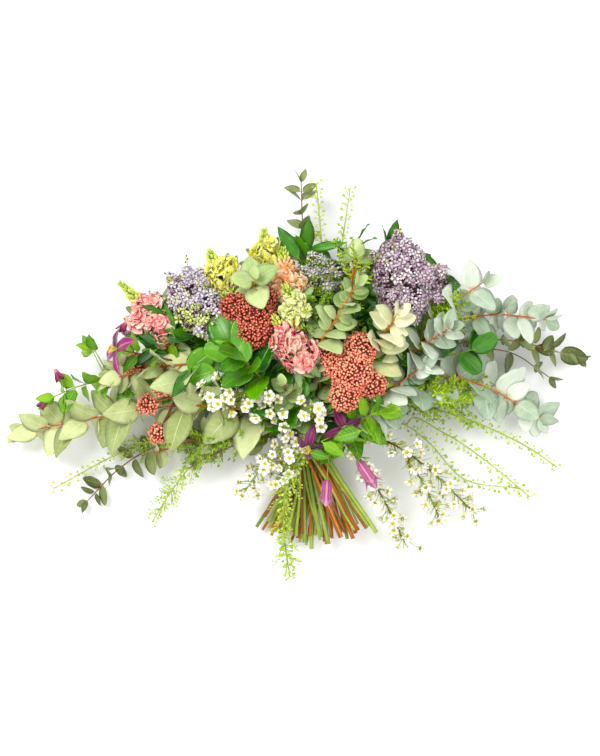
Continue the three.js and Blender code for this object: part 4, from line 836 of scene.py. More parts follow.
# The stems of a node. The share of the cut end's thickness gives way evenly to shrink, over a stretch through
# the tie, and below the tie the stem sways by bow sin(pi d) + slant d, with d from 0 to 1 down to its end.
def stemsOf(name, roots=(), shrink=0.9):
    seed = sum(ord(letter) * (n + 1) for n, letter in enumerate(name))
    lines = [resample(line["points"], line["radii"], stemLines["step"]) for line in readStems(name, roots)]
    thick = draw(seed, *cutEnds["thick"])
    cut = draw(seed + 1, *cutEnds["shorter"])
    bow = draw(seed + 2, *cutEnds["bow"])
    slant = draw(seed + 3, *cutEnds["slant"])
    for n, line in enumerate(lines):
        share = np.ones(len(line["arcs"]))
        if n == 0:
            share = np.clip((line["arcs"] - stemLines["blendFrom"]) / stemLines["blendOver"], 0, 1)
        thickness = thick * (1 - share) + shrink * share
        line["radii"] = line["radii"] * thickness * (stemLines["twig"] if n else 1.0)
    below = np.clip((-lines[0]["arcs"] - cutEnds["from"]) / cutEnds["over"], 0, 1)
    sway = bow * np.sin(below * 3.1) + slant * below
    lines[0]["points"] = lines[0]["points"] + sway[:, None] * np.array([1.0, 0.0, 0.0])
    keep = lines[0]["arcs"] > lines[0]["arcs"][0] + cut
    for key, values in lines[0].items():
        lines[0][key] = values[keep]
    return lines


tieInFrom = 3.0  # what lies farther than this from every line gets a stalk
tieInBack = 14  # which leaves the line at most this far nearer the cut end


# Short stalks for what grows clear of every line. Each starts back along the line by the gap that it spans.
def tieIn(lines, roots, radius, material, seed):
    if not len(roots):
        return []
    trunk = np.vstack([line["points"] for line in lines])
    slopes = np.vstack([line["tangents"] for line in lines])
    gaps = gapsTo(roots, trunk)
    apart = gaps.min(1) > tieInFrom
    if not apart.any():
        return []
    nearest = np.argmin(gaps[apart], axis=1)
    starts = trunk[nearest] - slopes[nearest] * np.minimum(gaps[apart].min(1), tieInBack)[:, None]
    return [growStalks(starts, roots[apart], radius, material, seed)]


# Two rows of small places along each of a set of twigs. They leave it on both sides at the spread, and their
# size falls evenly towards its tip.
def alongTwigs(twigs, count, spread, size, seed):
    share = np.linspace(0.2, 1.0, count)[None, :, None, None]
    hand = np.array([-1, 1])[None, None, :, None]
    direction, face = twigs["direction"][:, None, None], twigs["face"][:, None, None]
    length = twigs["size"][:, None, None, None]
    side = np.cross(direction, face)
    at = twigs["at"][:, None, None] + direction * length * share + 0 * hand
    lean = np.radians(spread)
    way = unit(direction * np.cos(lean) + side * hand * np.sin(lean) + draw(seed, -0.35, 0.35, *at.shape))
    flat = way.reshape(-1, 3)
    level = np.broadcast_to(face, at.shape).reshape(-1, 3)
    sizes = size * (1.15 - 0.5 * share[..., 0]) * draw(seed + 1, 0.7, 1.2, *at.shape[:3])
    return {"at": at.reshape(-1, 3), "direction": flat, "face": squareTo(level, flat),
        "size": sizes.ravel(), "bend": draw(seed + 2, 0.0, 0.3, len(flat))}


# Count directions evenly round each axis, from a start turn: level cos a + over sin a.
def around(axis, count, start):
    level, over = across(axis)
    turn = start[:, None] + np.arange(count)[None] * 2 * np.pi / count
    return level[:, None] * np.cos(turn)[..., None] + over[:, None] * np.sin(turn)[..., None]


# Petals set round each flower's middle. They leave it at an angle a, the lift above the plane across its axis
# within 7 degrees, and run out cos a + axis sin a.
def petalsRound(at, axis, radius, count, lift, rise, seed):
    out = around(axis, count, draw(seed, 0, 6.28, len(at)))
    lean = np.radians(lift + draw(seed + 2, -7, 7, len(at), count, 1))
    direction = unit(out * np.cos(lean) + axis[:, None] * np.sin(lean))
    face = squareTo(axis[:, None], direction)
    spots = at[:, None] + axis[:, None] * rise + out * 0.12 * np.asarray(radius).reshape(-1, 1, 1)
    sizes = np.asarray(radius, float).reshape(-1, 1) * np.ones((len(at), count))
    tint = np.clip(draw(seed + 1, 0, 1, len(at), 1) + draw(seed + 3, -0.2, 0.2, len(at), count), 0, 1)
    return {"at": spots.reshape(-1, 3), "direction": direction.reshape(-1, 3), "face": face.reshape(-1, 3),
        "size": sizes.ravel(), "bend": np.full(sizes.size, 0.06), "tint": tint.ravel()}


# Where what grows at each place ends: its root plus its size along its direction.
def tipsOf(places):
    return places["at"] + places["direction"] * places["size"][:, None]


solidKinds = {"eucalyptus": ("eucalyptus", "young")}


# A node's name as a piece's name: its first word, and the others joined on with a capital each.
def camel(name):
    first, *rest = name.split("_")
    return first + "".join(word.capitalize() for word in rest)


# What the sprays of one plant share, found by the first word of the node's name.
plants = {
    "eucalyptus": {"stem": "rustStem", "shape": "eucalyptus"},
    "gum": {"stem": "brownStem", "shape": "narrow", "leaf": "gumLeaf"},
    "ruscus": {"stem": "greenStem", "shape": "ruscus", "leaf": "ruscusLeaf", "inner": 50},
    "salal": {"stem": "greenStem", "shape": "salal", "leaf": "salalLeaf"},
    "clematis": {"stem": "greenStem", "shape": "clematis", "leaf": "clematisLeaf", "inner": 30},
}
# Leafy sprays: the leaves of the solids, a pair between each two joints, and more where the bunch is thick.
# shape is how the solid's leaves are cut, and form how they are drawn where that differs. Small leaves, inner
# long, stand between from and the first joint. Leaves are drawn more times as long. Of the pairs, flat is the
# share of their climb that is kept, facing how far they turn up, and low how much lower they start. raise
# lifts the main stem. oval is (x, y, z, half width, half height, count, size), and laid (x, y, z, turn, size).
sprays = {
    "eucalyptus_left_long": {"leaf": "oliveEucalyptus", "inner": 40, "from": 50, "more": 1.1, "flat": 0.5,
        "facing": 0.8, "low": 6.5, "raise": 3.4, "form": "sickle"},
    "eucalyptus_left_upper": {"leaf": "oliveEucalyptus", "inner": 42, "from": 50, "more": 1.1, "flat": 0.5,
        "facing": 0.8, "low": 3.5, "form": "sickle", "oval": (-176, 100, 84, 34, 22, 8, 42)},
    "eucalyptus_left_low": {"leaf": "oliveEucalyptus", "inner": 30, "from": 50},
    "eucalyptus_top_star": {"leaf": "greenEucalyptus", "inner": 30, "from": 80},
    "eucalyptus_centre_right": {"leaf": "greenEucalyptus", "inner": 34, "from": 60,
        "laid": [(52, 240, 112, 84, 26), (50, 238, 110, 140, 24), (54, 239, 108, 24, 25)]},
    "eucalyptus_centre_low": {"leaf": "greenEucalyptus", "inner": 28, "from": 40},
    "eucalyptus_pale": {"leaf": "paleEucalyptus", "inner": 36, "from": 60},
    "eucalyptus_right_star": {"leaf": "silverEucalyptus", "inner": 34, "from": 60},
    "eucalyptus_right_upper": {"leaf": "silverEucalyptus", "inner": 38, "from": 50, "more": 1.08, "flat": 0.6,
        "facing": 0.75, "low": 3.5},
    "eucalyptus_right_lower": {"leaf": "silverEucalyptus", "inner": 40, "from": 50, "more": 1.08, "flat": 0.6,
        "facing": 0.75, "low": 6.5, "raise": 3.2},
    "eucalyptus_right_middle": {"leaf": "silverEucalyptus", "inner": 36, "from": 40, "more": 1.05,
        "flat": 0.6, "facing": 0.75, "low": 3.0},
    "gum_top": {"inner": 30, "from": 80},
    "gum_right": {"inner": 30, "from": 80,
        "laid": [(322, 122, 40, -16, 38), (322, 122, 39, 168, 26), (304, 122, 42, 62, 22)]},
    "gum_left_low": {"inner": 0, "from": 90},
    "gum_twig": {"inner": 0, "from": 50},
    "ruscus_top": {"from": 60, "laid": [(-20, 240, 110, 123, 52)]},
    "ruscus_arc": {"from": 70, "form": "blade", "laid": [(40, 262, 112, 190, 48), (34, 238, 114, 198, 44)]},
    "ruscus_upper_right": {"from": 70},
    "ruscus_left": {"from": 60, "oval": (-186, 128, 74, 38, 18, 12, 46),
        "laid": [(-198, 130, 100, 148, 52), (-206, 124, 100, 214, 40), (-160, 100, 118, 238, 46),
            (-182, 140, 108, 112, 56), (-196, 138, 106, 8, 44)]},
    "salal_centre": {"inner": 46, "from": 50,
        "laid": [(-131, 122, 116, 216, 40), (-104, 116, 112, 220, 54), (-128, 98, 118, 200, 38),
            (-94, 120, 142, 90, 44), (-108, 128, 136, 118, 46), (-102, 118, 138, 170, 42)]},
    "salal_right": {"leaf": "ruscusLeaf", "inner": 42, "from": 70},
    "clematis_vine_left": {"from": 80},
    "clematis_vine_right": {"from": 26,
        "laid": [(61, 20, 130, 196, 40), (8, 5, 114, -32, 36), (-8, -9, 104, -16, 28)]},
}
# Shared by all the sprays. A main stem is raised evenly from raiseFrom, over raiseOver. Pairs stand in the
# middle of gaps of at least between, at the spread, and grow smaller to taper times their size at the tip.
leafy = {"raiseFrom": 60, "raiseOver": 60, "swell": 0.14, "sameJoint": 3, "between": 17, "spread": 62,
    "taper": 0.62, "pairSize": 0.92, "innerGap": 11.0, "innerLift": 0.1, "innerFacing": 0.75,
    "innerFlat": 0.7, "singleGap": 5.0, "singleSpread": 64, "singleFlat": 0.6}
# Closed flowers at the far left of the vine.
budded = {"node": "clematis_vine_left", "at": [[-342, 98, 60], [-354, 60, 58], [-246, 160, 86]],
    "ways": [[0.45, -0.88, 0.1], [-0.6, -0.78, 0.1], [-0.5, -0.85, 0.15]], "length": 17.0, "petals": 4,
    "lift": 74}
leafCount = 0
for number, (node, own) in enumerate(sprays.items()):
    seed = 100 + number * 50
    spray = {**plants[node.split("_")[0]], **own}
    leaf, stem = spray["leaf"], spray["stem"]
    paired = spray["shape"] in ("eucalyptus", "narrow", "clematis")
    leaves = readLeaves(node, solidKinds.get(spray["shape"], (spray["shape"],)))
    leafCount += len(leaves["size"])
    lines = stemsOf(node, leaves["at"], 0.62)
    main = lines[0]
    raised = np.clip((main["arcs"] - leafy["raiseFrom"]) / leafy["raiseOver"], 0, 1) * spray.get("raise", 0.0)
    main["points"] = main["points"] + raised[:, None] * up
    shape = leafShapes[spray.get("form", spray["shape"])]
    layers = []
    for n, line in enumerate(lines):
        tint = 0.2 + 0.6 * ((number * 7 + n) % 5) / 4
        layers.append(growStem(line, stem, 10 if n == 0 else 7, tint, leafy["swell"]))
    layers += tieIn(lines, leaves["at"], 0.8, stem, seed + 1)
    layers += growLeaves({**leaves, "size": leaves["size"] * spray.get("more", 1.0)}, shape, leaf, seed + 2)
    joints = np.sort(arcsOf(main, gather(leaves["at"])))
    joints = joints[np.append(True, np.diff(joints) > leafy["sameJoint"])]
    if paired and len(joints) > 2:
        wide = np.diff(joints) > leafy["between"]
        between = ((joints[1:] + joints[:-1]) / 2)[wide]
        size = np.interp(between, joints, np.linspace(1.0, leafy["taper"], len(joints)))
        size = size * np.percentile(leaves["size"], 80) * spray.get("more", 1.0) * leafy["pairSize"]
        facing, flat = spray.get("facing", 0.5), spray.get("flat", 1.0)
        extra = pairs(main, between, leafy["spread"], size, seed + 10, 0.0, facing, flat)
        extra["at"] -= up * spray.get("low", 0.0)
        layers += growLeaves(extra, shape, leaf, seed + 16)
    if spray["inner"] and len(joints):
        if paired:
            inner = np.arange(spray["from"], joints[0] - 6, leafy["innerGap"])
            extra = pairs(main, inner, leafy["spread"], spray["inner"], seed + 24, leafy["innerLift"],
                leafy["innerFacing"], spray.get("flat", leafy["innerFlat"]))
        else:
            extra = spiral(main, spray["from"], joints[0] - 4, leafy["singleGap"], leafy["singleSpread"],
                spray["inner"], seed + 24, leafy["innerLift"], leafy["innerFacing"], leafy["singleFlat"])
        layers += growLeaves(extra, shape, leaf, seed + 30)
    if "oval" in spray:
        extra = oval(*spray["oval"], seed + 34)
        layers += growLeaves(extra, shape, leaf, seed + 35) + tieIn(lines, extra["at"], 0.8, stem, seed + 36)
    if "laid" in spray:
        extra = laid(spray["laid"], seed + 37)
        layers += growLeaves(extra, shape, leaf, seed + 38) + tieIn(lines, extra["at"], 0.9, stem, seed + 39)
    if node == budded["node"]:
        tips = np.array(budded["at"], float)
        way = unit(np.array(budded["ways"], float))
        trunk = np.vstack([line["points"] for line in lines])
        roots = trunk[np.argmin(gapsTo(tips, trunk), axis=1)]
        layers.append(growStalks(roots, tips, 0.6, "greenStem", seed + 40, 0.1))
        layers.append(growBuds(tips + way * 2.5, way, 3.2, 4.2, "mauvePetal", seed + 41, 8, 10))
        closed = petalsRound(tips, way, budded["length"], budded["petals"], budded["lift"], 0.0, seed + 42)
        layers += growLeaves(closed, leafShapes["closed"], "duskPetal", seed + 46)
    makePiece(camel(node), layers, [node])
print("leafy sprays", len(sprays), "leaves of the solids", leafCount, total[0])


# Fine green: feathery side twigs with small leaves and clusters of green buds. gap, twig and leaf are in
# millimetres, branch is the finish of leaves on side branches, and ovals add twigs as oval adds leaves above.
fineGreen = {
    "green_right": {"from": 46, "gap": 4.6, "twig": 46.0, "leaf": 11.0, "branch": "fillerLeaf",
        "ovals": ((154, 168, 100, 26, 20, 11, 36), (156, 66, 72, 34, 11, 9, 28))},
    "green_left": {"from": 36, "gap": 5.0, "twig": 38.0, "leaf": 10.0, "branch": "fillerLeaf"},
    "green_top": {"from": 60, "gap": 4.6, "twig": 44.0, "leaf": 11.0, "branch": "shadeLeaf"},
}
feathers = {"spread": 46, "leaflets": 6, "leafSpread": 48, "sprigs": 5, "sprigSpread": 34, "sprig": 8.0,
    "buds": 3, "scatter": 1.8, "bud": (0.8, 1.4)}
for number, (node, fine) in enumerate(fineGreen.items()):
    seed = 1300 + number * 60
    leaves = readLeaves(node, ("filler",))
    lines = stemsOf(node, leaves["at"], 0.8)
    layers = [growStem(line, "limeStem", 8, 0.5, 0.1) for line in lines]
    layers += tieIn(lines, leaves["at"], 0.6, "limeStem", seed)
    layers += growLeaves(leaves, leafShapes["filler"], "fillerLeaf", seed + 1)
    for n, line in enumerate(lines):
        start = fine["from"] if n == 0 else 8
        twigs = spiral(line, start, line["arcs"][-1] + 3, fine["gap"], feathers["spread"], fine["twig"],
            seed + 7 + n, 0.12, 0.5)
        for k, patch in enumerate(fine.get("ovals", ()) if n == 0 else ()):
            more = oval(*patch, seed + 50 + k)
            layers += tieIn(lines, more["at"], 0.5, "limeStem", seed + 54 + k)
            twigs = joined(twigs, more)
        layers.append(growStalks(twigs["at"], tipsOf(twigs), 0.5, "limeStem", seed + 9 + n, 0.0))
        leaflets = alongTwigs(twigs, feathers["leaflets"], feathers["leafSpread"], fine["leaf"],
            seed + 12 + n)
        layers += growLeaves(leaflets, leafShapes["filler"], fine["branch"] if n else "fillerLeaf",
            seed + 16 + n)
        sprigs = alongTwigs(twigs, feathers["sprigs"], feathers["sprigSpread"], feathers["sprig"],
            seed + 22 + n)
        heads, ways = tipsOf(sprigs), sprigs["direction"]
        layers.append(growStalks(sprigs["at"], heads, 0.3, "limeStem", seed + 25 + n, 0.0))
        for k in range(feathers["buds"]):
            shift = draw(seed + 30 + k, -feathers["scatter"], feathers["scatter"], len(heads), 3)
            size = draw(seed + 34 + k, *feathers["bud"], len(heads))
            layers.append(growBuds(heads + shift, ways, size, size * 1.1, "calyx", seed + 38, 4, 5))
    makePiece(camel(node), layers, [node])

# Pennycress: flat pods on fine stalks all along each stem. gap, pod and twig are in millimetres, and no side
# twig starts past until.
pennycress = {
    "pennycress_top": {"from": 120, "gap": 2.3, "pod": 9.0, "twig": 0.0},
    "pennycress_left": {"from": 100, "gap": 3.2, "pod": 9.5, "twig": 24.0, "until": 236},
    "pennycress_tail": {"from": 20, "gap": 1.4, "pod": 10.5, "twig": 24.0},
    "pennycress_right": {"from": 110, "gap": 2.6, "pod": 9.5, "twig": 0.0},
}
podTwigs = {"spread": 60, "gap": 6.0, "twigSpread": 38, "pods": 5, "podSpread": 52, "pod": 8.5, "bare": 24,
    "anyLength": 900}
for number, (node, spray) in enumerate(pennycress.items()):
    seed = 1500 + number * 60
    pods = readLeaves(node, ("pennycress",))
    lines = stemsOf(node, pods["at"], 0.7)
    layers = [growStem(line, "limeStem", 8, 0.6) for line in lines]
    layers += growLeaves(pods, leafShapes["pod"], "podSkin", seed + 1)
    for n, line in enumerate(lines):
        start = spray["from"] if n == 0 else 12
        more = spiral(line, start, line["arcs"][-1] + 2, spray["gap"], podTwigs["spread"], spray["pod"],
            seed + 7 + n, 0.0, 0.8)
        layers += growLeaves(more, leafShapes["pod"], "podSkin", seed + 12 + n)
        if spray["twig"]:
            until = spray.get("until", podTwigs["anyLength"]) if n == 0 else podTwigs["anyLength"]
            stop = min(line["arcs"][-1] - podTwigs["bare"], until)
            twigs = spiral(line, start, stop, podTwigs["gap"], podTwigs["twigSpread"], spray["twig"],
                seed + 18 + n, 0.05, 0.5)
            if len(twigs["size"]):
                layers.append(growStalks(twigs["at"], tipsOf(twigs), 0.4, "limeStem", seed + 21 + n, 0.0))
                fine = alongTwigs(twigs, podTwigs["pods"], podTwigs["podSpread"], podTwigs["pod"],
                    seed + 24 + n)
                layers += growLeaves(fine, leafShapes["pod"], "podSkin", seed + 28 + n)
    makePiece(camel(node), layers, [node])
print("fine green and pennycress", total[0])


# Wax flower: five cupped white petals round a green cup with a ring of stamens, and on each stem buds and
# needle leaves. from is where the small blossoms start, and more how far apart they stand.
waxFlower = {"solid": 8.4, "petals": 5, "longer": 1.06, "lift": 30, "cup": 0.47, "stamens": 10, "ring": 0.52,
    "radius": (7.4, 8.6), "smaller": (5.8, 8.0), "twig": 15.0, "clear": 22.0, "needle": 15.0}
waxPetal = {"ratio": 0.88, "p": 0.72, "q": 0.36, "stalk": 0.0, "cup": 0.28, "wave": 0.01, "stem": 2.0,
    "rows": 4, "columns": 4, "thick": 0.3, "twist": 0.1}
waxSprays = {
    "wax_left": {"from": 50, "more": 7.0, "stem": "limeStem"},
    "wax_middle": {"from": 40, "more": 8.0, "stem": "greenStem"},
    "wax_low": {"from": 30, "more": 5.0, "stem": "limeStem"},
    "wax_right_inner": {"from": 46, "more": 9.0, "stem": "brownStem"},
    "wax_right_outer": {"from": 76, "more": 9.0, "stem": "brownStem"},
}


# Blossoms at their places: petals, a flat round cup with stamens round it, and a stalk with a swollen top.
def waxBlossoms(at, axis, radius, roots, seed):
    length = radius * waxFlower["longer"]
    petals = petalsRound(at, axis, length, waxFlower["petals"], waxFlower["lift"], 0.0, seed)
    cup = radius * waxFlower["cup"]
    ring = around(axis, waxFlower["stamens"], draw(seed + 5, 0, 6, len(at)))
    stamens = at[:, None] + ring * (radius[:, None, None] * waxFlower["ring"]) + axis[:, None] * 1.9
    upright = np.repeat(axis, waxFlower["stamens"], axis=0)
    return growLeaves(petals, waxPetal, "waxPetal", seed + 4) + [
        growBuds(at + axis * 0.3, axis, cup, cup * 0.5, "waxCup", seed + 10, 7, 9),
        growBuds(stamens.reshape(-1, 3), upright, 0.5, 0.6, "anther", seed + 11, 3, 4),
        growBuds(at - axis * 1.6, axis, radius * 0.3, 2.6, "waxBud", seed + 12),
        growStalks(roots, at - axis * 3.0, 0.5, "limeStem", seed + 13),
    ]


broad = readLeaves("salal_centre", ("salal",))
overWax = broad["at"] + broad["direction"] * broad["size"][:, None] * 0.55


# The places whose ends lie more than apart from the broad leaves in the middle of the bunch.
def clearOf(places, apart):
    free = gapsTo(tipsOf(places), overWax).min(1) > apart
    return {key: values[free] for key, values in places.items()}


waxCount = 0
for number, (node, spray) in enumerate(waxSprays.items()):
    seed = 1800 + number * 90
    at, axis = readStars(node, waxFlower["solid"])
    waxCount += len(at)
    lines = stemsOf(node, (), 0.75)
    trunk = np.vstack([line["points"] for line in lines])
    slopes = np.vstack([line["tangents"] for line in lines])
    nearest = np.argmin(gapsTo(at, trunk), axis=1)
    layers = [growStem(line, spray["stem"], 8, 0.4 + 0.1 * n) for n, line in enumerate(lines)]
    radius = draw(seed, *waxFlower["radius"], len(at))
    layers += waxBlossoms(at, axis, radius, trunk[nearest] - slopes[nearest] * 7.0, seed + 1)
    for n, line in enumerate(lines):
        start = spray["from"] if n == 0 else 12
        end = line["arcs"][-1]
        more = spiral(line, start, end + 2, spray["more"], 50, waxFlower["twig"], seed + 20 + n, 0.35)
        more = clearOf(more, waxFlower["clear"])
        facing = unit(more["direction"] + up * 0.6)
        radius = draw(seed + 24, *waxFlower["smaller"], len(facing))
        layers += waxBlossoms(tipsOf(more), facing, radius, more["at"], seed + 26 + n)
        buds = spiral(line, start, end + 4, 5.0, 40, 12.0, seed + 46 + n, 0.25)
        tips = tipsOf(buds)
        width = draw(seed + 50, 1.3, 2.2, len(tips))
        layers.append(growStalks(buds["at"], tips, 0.4, "limeStem", seed + 52 + n))
        layers.append(growBuds(tips, buds["direction"], width, width * 1.25, "waxBud", seed + 56))
        needles = spiral(line, start, end, 2.4, 42, waxFlower["needle"], seed + 60 + n, 0.1)
        layers += growLeaves(needles, leafShapes["needle"], "needleLeaf", seed + 66 + n)
    makePiece(camel(node), layers, [node])
print("wax flower", waxCount, "blossoms of the solids", total[0])


# Heads of lilac, stock and rice flower: what they carry stands on the same rounded lobes as in the solids.
# Each lobe is its middle x, y and z, its radius, its half length and its axis.
lobePlaces = {
    "lilac_left": [(-151, 181, 108, 26, 40, (-48, 53, 10))],
    "lilac_right": [(113, 212, 106, 30, 50, (-12, 90, 14)), (148, 208, 98, 17, 20, (60, 40, 0))],
    "lilac_top": [(6, 216, 108, 15, 21, (-4, 12, 3))],
    "stock_pink_centre": [(-27, 124, 136, 17, 29, (-32, 52, 14))],
    "stock_pink_left": [(-206, 161, 88, 18, 30, (-40, 42, 6))],
    "stock_apricot": [(-35, 210, 113, 15, 22, (-4, 26, 2))],
    "stock_yellow": [(-117, 209, 106, 16, 25, (-18, 38, 3)), (-61, 240, 92, 12, 18, (-3, 20, 3))],
    "stock_lime": [(-26, 172, 134, 12, 15, (-8, 22, 8))],
    "rice_dark": [(-78, 166, 132, 24, 20.4, (0, 0, 1)), (-103, 177, 132, 15, 12.8, (0, 0, 1)),
        (-66, 188, 131, 14, 11.9, (0, 0, 1)), (-80, 146, 134, 18, 15.3, (0, 0, 1))],
    "rice_pink": [(47, 97, 124, 23, 19.6, (0, 0, 1)), (57, 124, 122, 18, 15.3, (0, 0, 1)),
        (27, 105, 120, 15, 12.8, (0, 0, 1)), (74, 80, 112, 15, 12.8, (0, 0, 1)),
        (39, 64, 116, 17, 14.5, (0, 0, 1)), (14, 121, 122, 9, 7.7, (0, 0, 1))],
}


# One column of the lobes' values, or several.
def columnsOf(lobes, n):
    return np.array([lobe[n] for lobe in lobes], float)


# Points about gap apart all over the lobes, with the way out at each. Point k of n has the height h = 1 - (2k
# + 1) / n and golden turn k, at radius r sqrt(1 - hh) and l h along the axis. Those that lie deep in another
# lobe, or face lower than low, are dropped.
def overLobes(lobes, gap, seed, low=-1.0):
    places, ways = [], []
    for n, (x, y, z, radius, half, axis) in enumerate(lobes):
        axis = unit(np.array(axis, float))
        level, over = across(axis)
        count = int(4 * np.pi * radius * (radius + 2 * half) / 3 / gap**2)
        h = 1 - 2 * (np.arange(count) + 0.5) / count
        turn = goldenTurn * np.arange(count) + seed
        a = np.cos(turn) * np.sqrt(1 - h**2)
        b = np.sin(turn) * np.sqrt(1 - h**2)
        frameOf = np.stack([level, over, axis])
        at = np.array([x, y, z], float) + np.stack([a * radius, b * radius, h * half], axis=1) @ frameOf
        out = unit(np.stack([a / radius, b / radius, h / half], axis=1) @ frameOf)
        keep = out[:, 2] > low
        for m, other in enumerate(lobes):
            if m != n:
                keep &= np.linalg.norm(at - np.array(other[:3]), axis=1) > 0.8 * min(other[3], other[4])
        places.append(at[keep])
        ways.append(out[keep])
    return np.vstack(places), np.vstack(ways)


# Gathers what stands on a head into rounded clusters: those at a cluster's middle are pushed out by
# push (1 - d d / (r r)), and the rest lean away from it. Also gives each one's d / r.
def clustered(at, out, middles, reach, push):
    gaps = gapsTo(at, middles)
    nearest = np.argmin(gaps, axis=1)
    gap = gaps.min(1) / reach
    place = at + out * (push * (1 - gap**2))[:, None]
    return place, unit(out + 0.75 * (at - middles[nearest]) / reach), gap


# A dark core, a smaller copy of each lobe, keeps light from passing between the florets of a head; in the
# lilac and the rice flower its dark colour is also painted shade for the gaps between them.
def coreOf(lobes, shrink, material, seed):
    middles, axis = columnsOf(lobes, slice(0, 3)), unit(columnsOf(lobes, 5))
    wide, tall = columnsOf(lobes, 3) * shrink, columnsOf(lobes, 4) * shrink
    return growBuds(middles, axis, wide, tall, material, seed, 12, 16)


# Leaves that stand out in golden turns under each lobe, from its own stem, and reach beyond its radius.
def collar(lobes, count, beyond, rise, seed):
    middles, radius = columnsOf(lobes, slice(0, 3)), columnsOf(lobes, 3)
    turn = (np.arange(count)[None] * goldenTurn + draw(seed, 0, 6.28, len(lobes), 1)).ravel()
    out = np.stack([np.cos(turn), np.sin(turn), draw(seed + 1, *rise, len(turn))], axis=1)
    wide = np.repeat(radius, count)[:, None]
    direction = unit(out)
    face = unit(up + draw(seed + 2, -0.4, 0.4, len(turn), 3))
    at = np.repeat(middles, count, axis=0) - up * wide * draw(seed + 3, 0.35, 0.9, len(turn), 1)
    size = wide[:, 0] + beyond * draw(seed + 4, 0.7, 1.15, len(turn))
    return {"at": at, "direction": direction, "face": squareTo(face, direction), "size": size,
        "bend": draw(seed + 5, 0.0, 0.22, len(turn))}


# The stems of a head, and a stalk to every lobe that they don't reach.
def reachLobes(lines, lobes, material, seed):
    stalks = tieIn(lines, columnsOf(lobes, slice(0, 3)), 1.7, material, seed)
    return [growStem(line, material, 8, 0.5, 0.1) for line in lines] + stalks


# Lilac: florets of four petals and buds on rounded clusters, with plumes standing out of them, fine twigs of
# buds beyond, and heart-shaped leaves under the head and on its stem. low is the finish of the lowest florets.
lilac = {"gap": 5.0, "radius": 5.7, "varied": (0.72, 1.2), "clusters": 15.0, "push": 8.0, "open": 0.78,
    "lowShare": 0.8, "plume": (6.0, 12.0, 4.8), "twig": 24.0, "leaf": 58.0, "collar": 11, "beyond": 24.0,
    "petal": {"ratio": 0.74, "p": 0.5, "q": 0.42, "stalk": 0.0, "cup": 0.3, "stem": 1.4, "rows": 3,
        "columns": 3, "thick": 0.3, "droop": 2.0, "wave": 0.02}}
lilacHeads = {
    "lilac_left": {"petal": "paleLilacPetal", "low": "limePetal", "twigs": 16,
        "oval": (-138, 118, 66, 44, 32, 22, 46)},
    "lilac_right": {"petal": "lilacPetal", "low": "lilacPetal", "twigs": 8},
    "lilac_top": {"petal": "dustyPetal", "low": "calyx", "twigs": 8},
}
for number, (node, head) in enumerate(lilacHeads.items()):
    lobes = lobePlaces[node]
    seed = 2300 + number * 60
    lines = stemsOf(node + "_stem")
    layers = reachLobes(lines, lobes, "greenStem", seed)
    at, out = overLobes(lobes, lilac["gap"], seed)
    middles, _ = overLobes(lobes, lilac["clusters"], seed + 1)
    place, lean, gap = clustered(at, out, middles, lilac["clusters"] * 0.6, lilac["push"])
    plumed = np.flatnonzero(out[:, 2] > -0.3)[:: int(len(at) / (5 * len(lobes) + 9))]
    width, tall, spacing = lilac["plume"]
    plumes = [(*(at[n] + out[n] * 3), width, tall, out[n]) for n in plumed]
    more, moreOut = overLobes(plumes, spacing, seed + 19)
    at, out = np.vstack([at, more]), np.vstack([out, moreOut])
    place, lean = np.vstack([place, more]), np.vstack([lean, moreOut])
    lean = unit(lean + draw(seed + 2, -0.4, 0.4, len(at), 3))
    place = place + draw(seed + 3, -1.5, 1.5, len(at), 3)
    isBud = draw(seed + 4, 0, 1, len(at)) >= lilac["open"]
    shown = np.append(gap < draw(seed + 21, 0.85, 1.35, len(gap)), np.ones(len(more), bool))
    low = (out[:, 1] < -0.1) & (draw(seed + 22, 0, 1, len(at)) < lilac["lowShare"])
    for finish, chosen in ((head["petal"], shown & ~isBud & ~low), (head["low"], shown & ~isBud & low)):
        radius = lilac["radius"] * draw(seed + 5, *lilac["varied"], chosen.sum())
        petals = petalsRound(place[chosen], lean[chosen], radius, 4, 14, 0.0, seed + 6)
        layers += growLeaves(petals, lilac["petal"], finish, seed + 10)
    isBud &= shown
    layers.append(growBuds(place[isBud], lean[isBud], 1.5, 2.9, "lilacBud", seed + 16, 5, 5))
    roots, heads = (at - out * 5)[shown], (place - lean * 0.5)[shown]
    layers.append(growStalks(roots, heads, 0.7, "lilacBud", seed + 17, 0.0))
    layers.append(coreOf(lobes, 0.84, "shadeCore", seed + 18))
    tips = np.flatnonzero((out[:, 1] > 0.3) & (out[:, 2] > -0.2))[:: max(len(at) // (3 * head["twigs"]), 1)]
    roots = at[tips]
    way = unit(out[tips] + up * 0.3 + draw(seed + 24, -0.3, 0.3, len(tips), 3))
    reach = lilac["twig"] * draw(seed + 25, 0.6, 1.1, len(tips), 1)
    layers.append(growStalks(roots, roots + way * reach, 0.5, "limeStem", seed + 26, 0.0))
    for k in range(5):
        aside = draw(seed + 27 + k, -2.2, 2.2, len(tips), 3) * (k > 0)
        spots = roots + way * reach * (1.02 - 0.13 * k) + aside
        finish = "limePetal" if k % 2 else "lilacBud"
        layers.append(growBuds(spots, way, 1.3, 2.0, finish, seed + 33 + k, 5, 5))
    hearts = spiral(lines[0], 50, lines[0]["arcs"][-1] - 10, 6.0, 72, lilac["leaf"], seed + 20, 0.1, 0.85)
    layers += growLeaves(hearts, leafShapes["heart"], "shadeLeaf", seed + 26)
    under = collar(lobes, lilac["collar"], lilac["beyond"], (-0.25, 0.15), seed + 32)
    layers += growLeaves(under, leafShapes["heart"], "shadeLeaf", seed + 40)
    if "oval" in head:
        extra = oval(*head["oval"], seed + 46)
        layers += growLeaves(extra, leafShapes["heart"], "shadeLeaf", seed + 50)
        layers += tieIn(lines, extra["at"], 0.8, "greenStem", seed + 56)
    makePiece(camel(node), layers, [node + "_head", node + "_stem"])
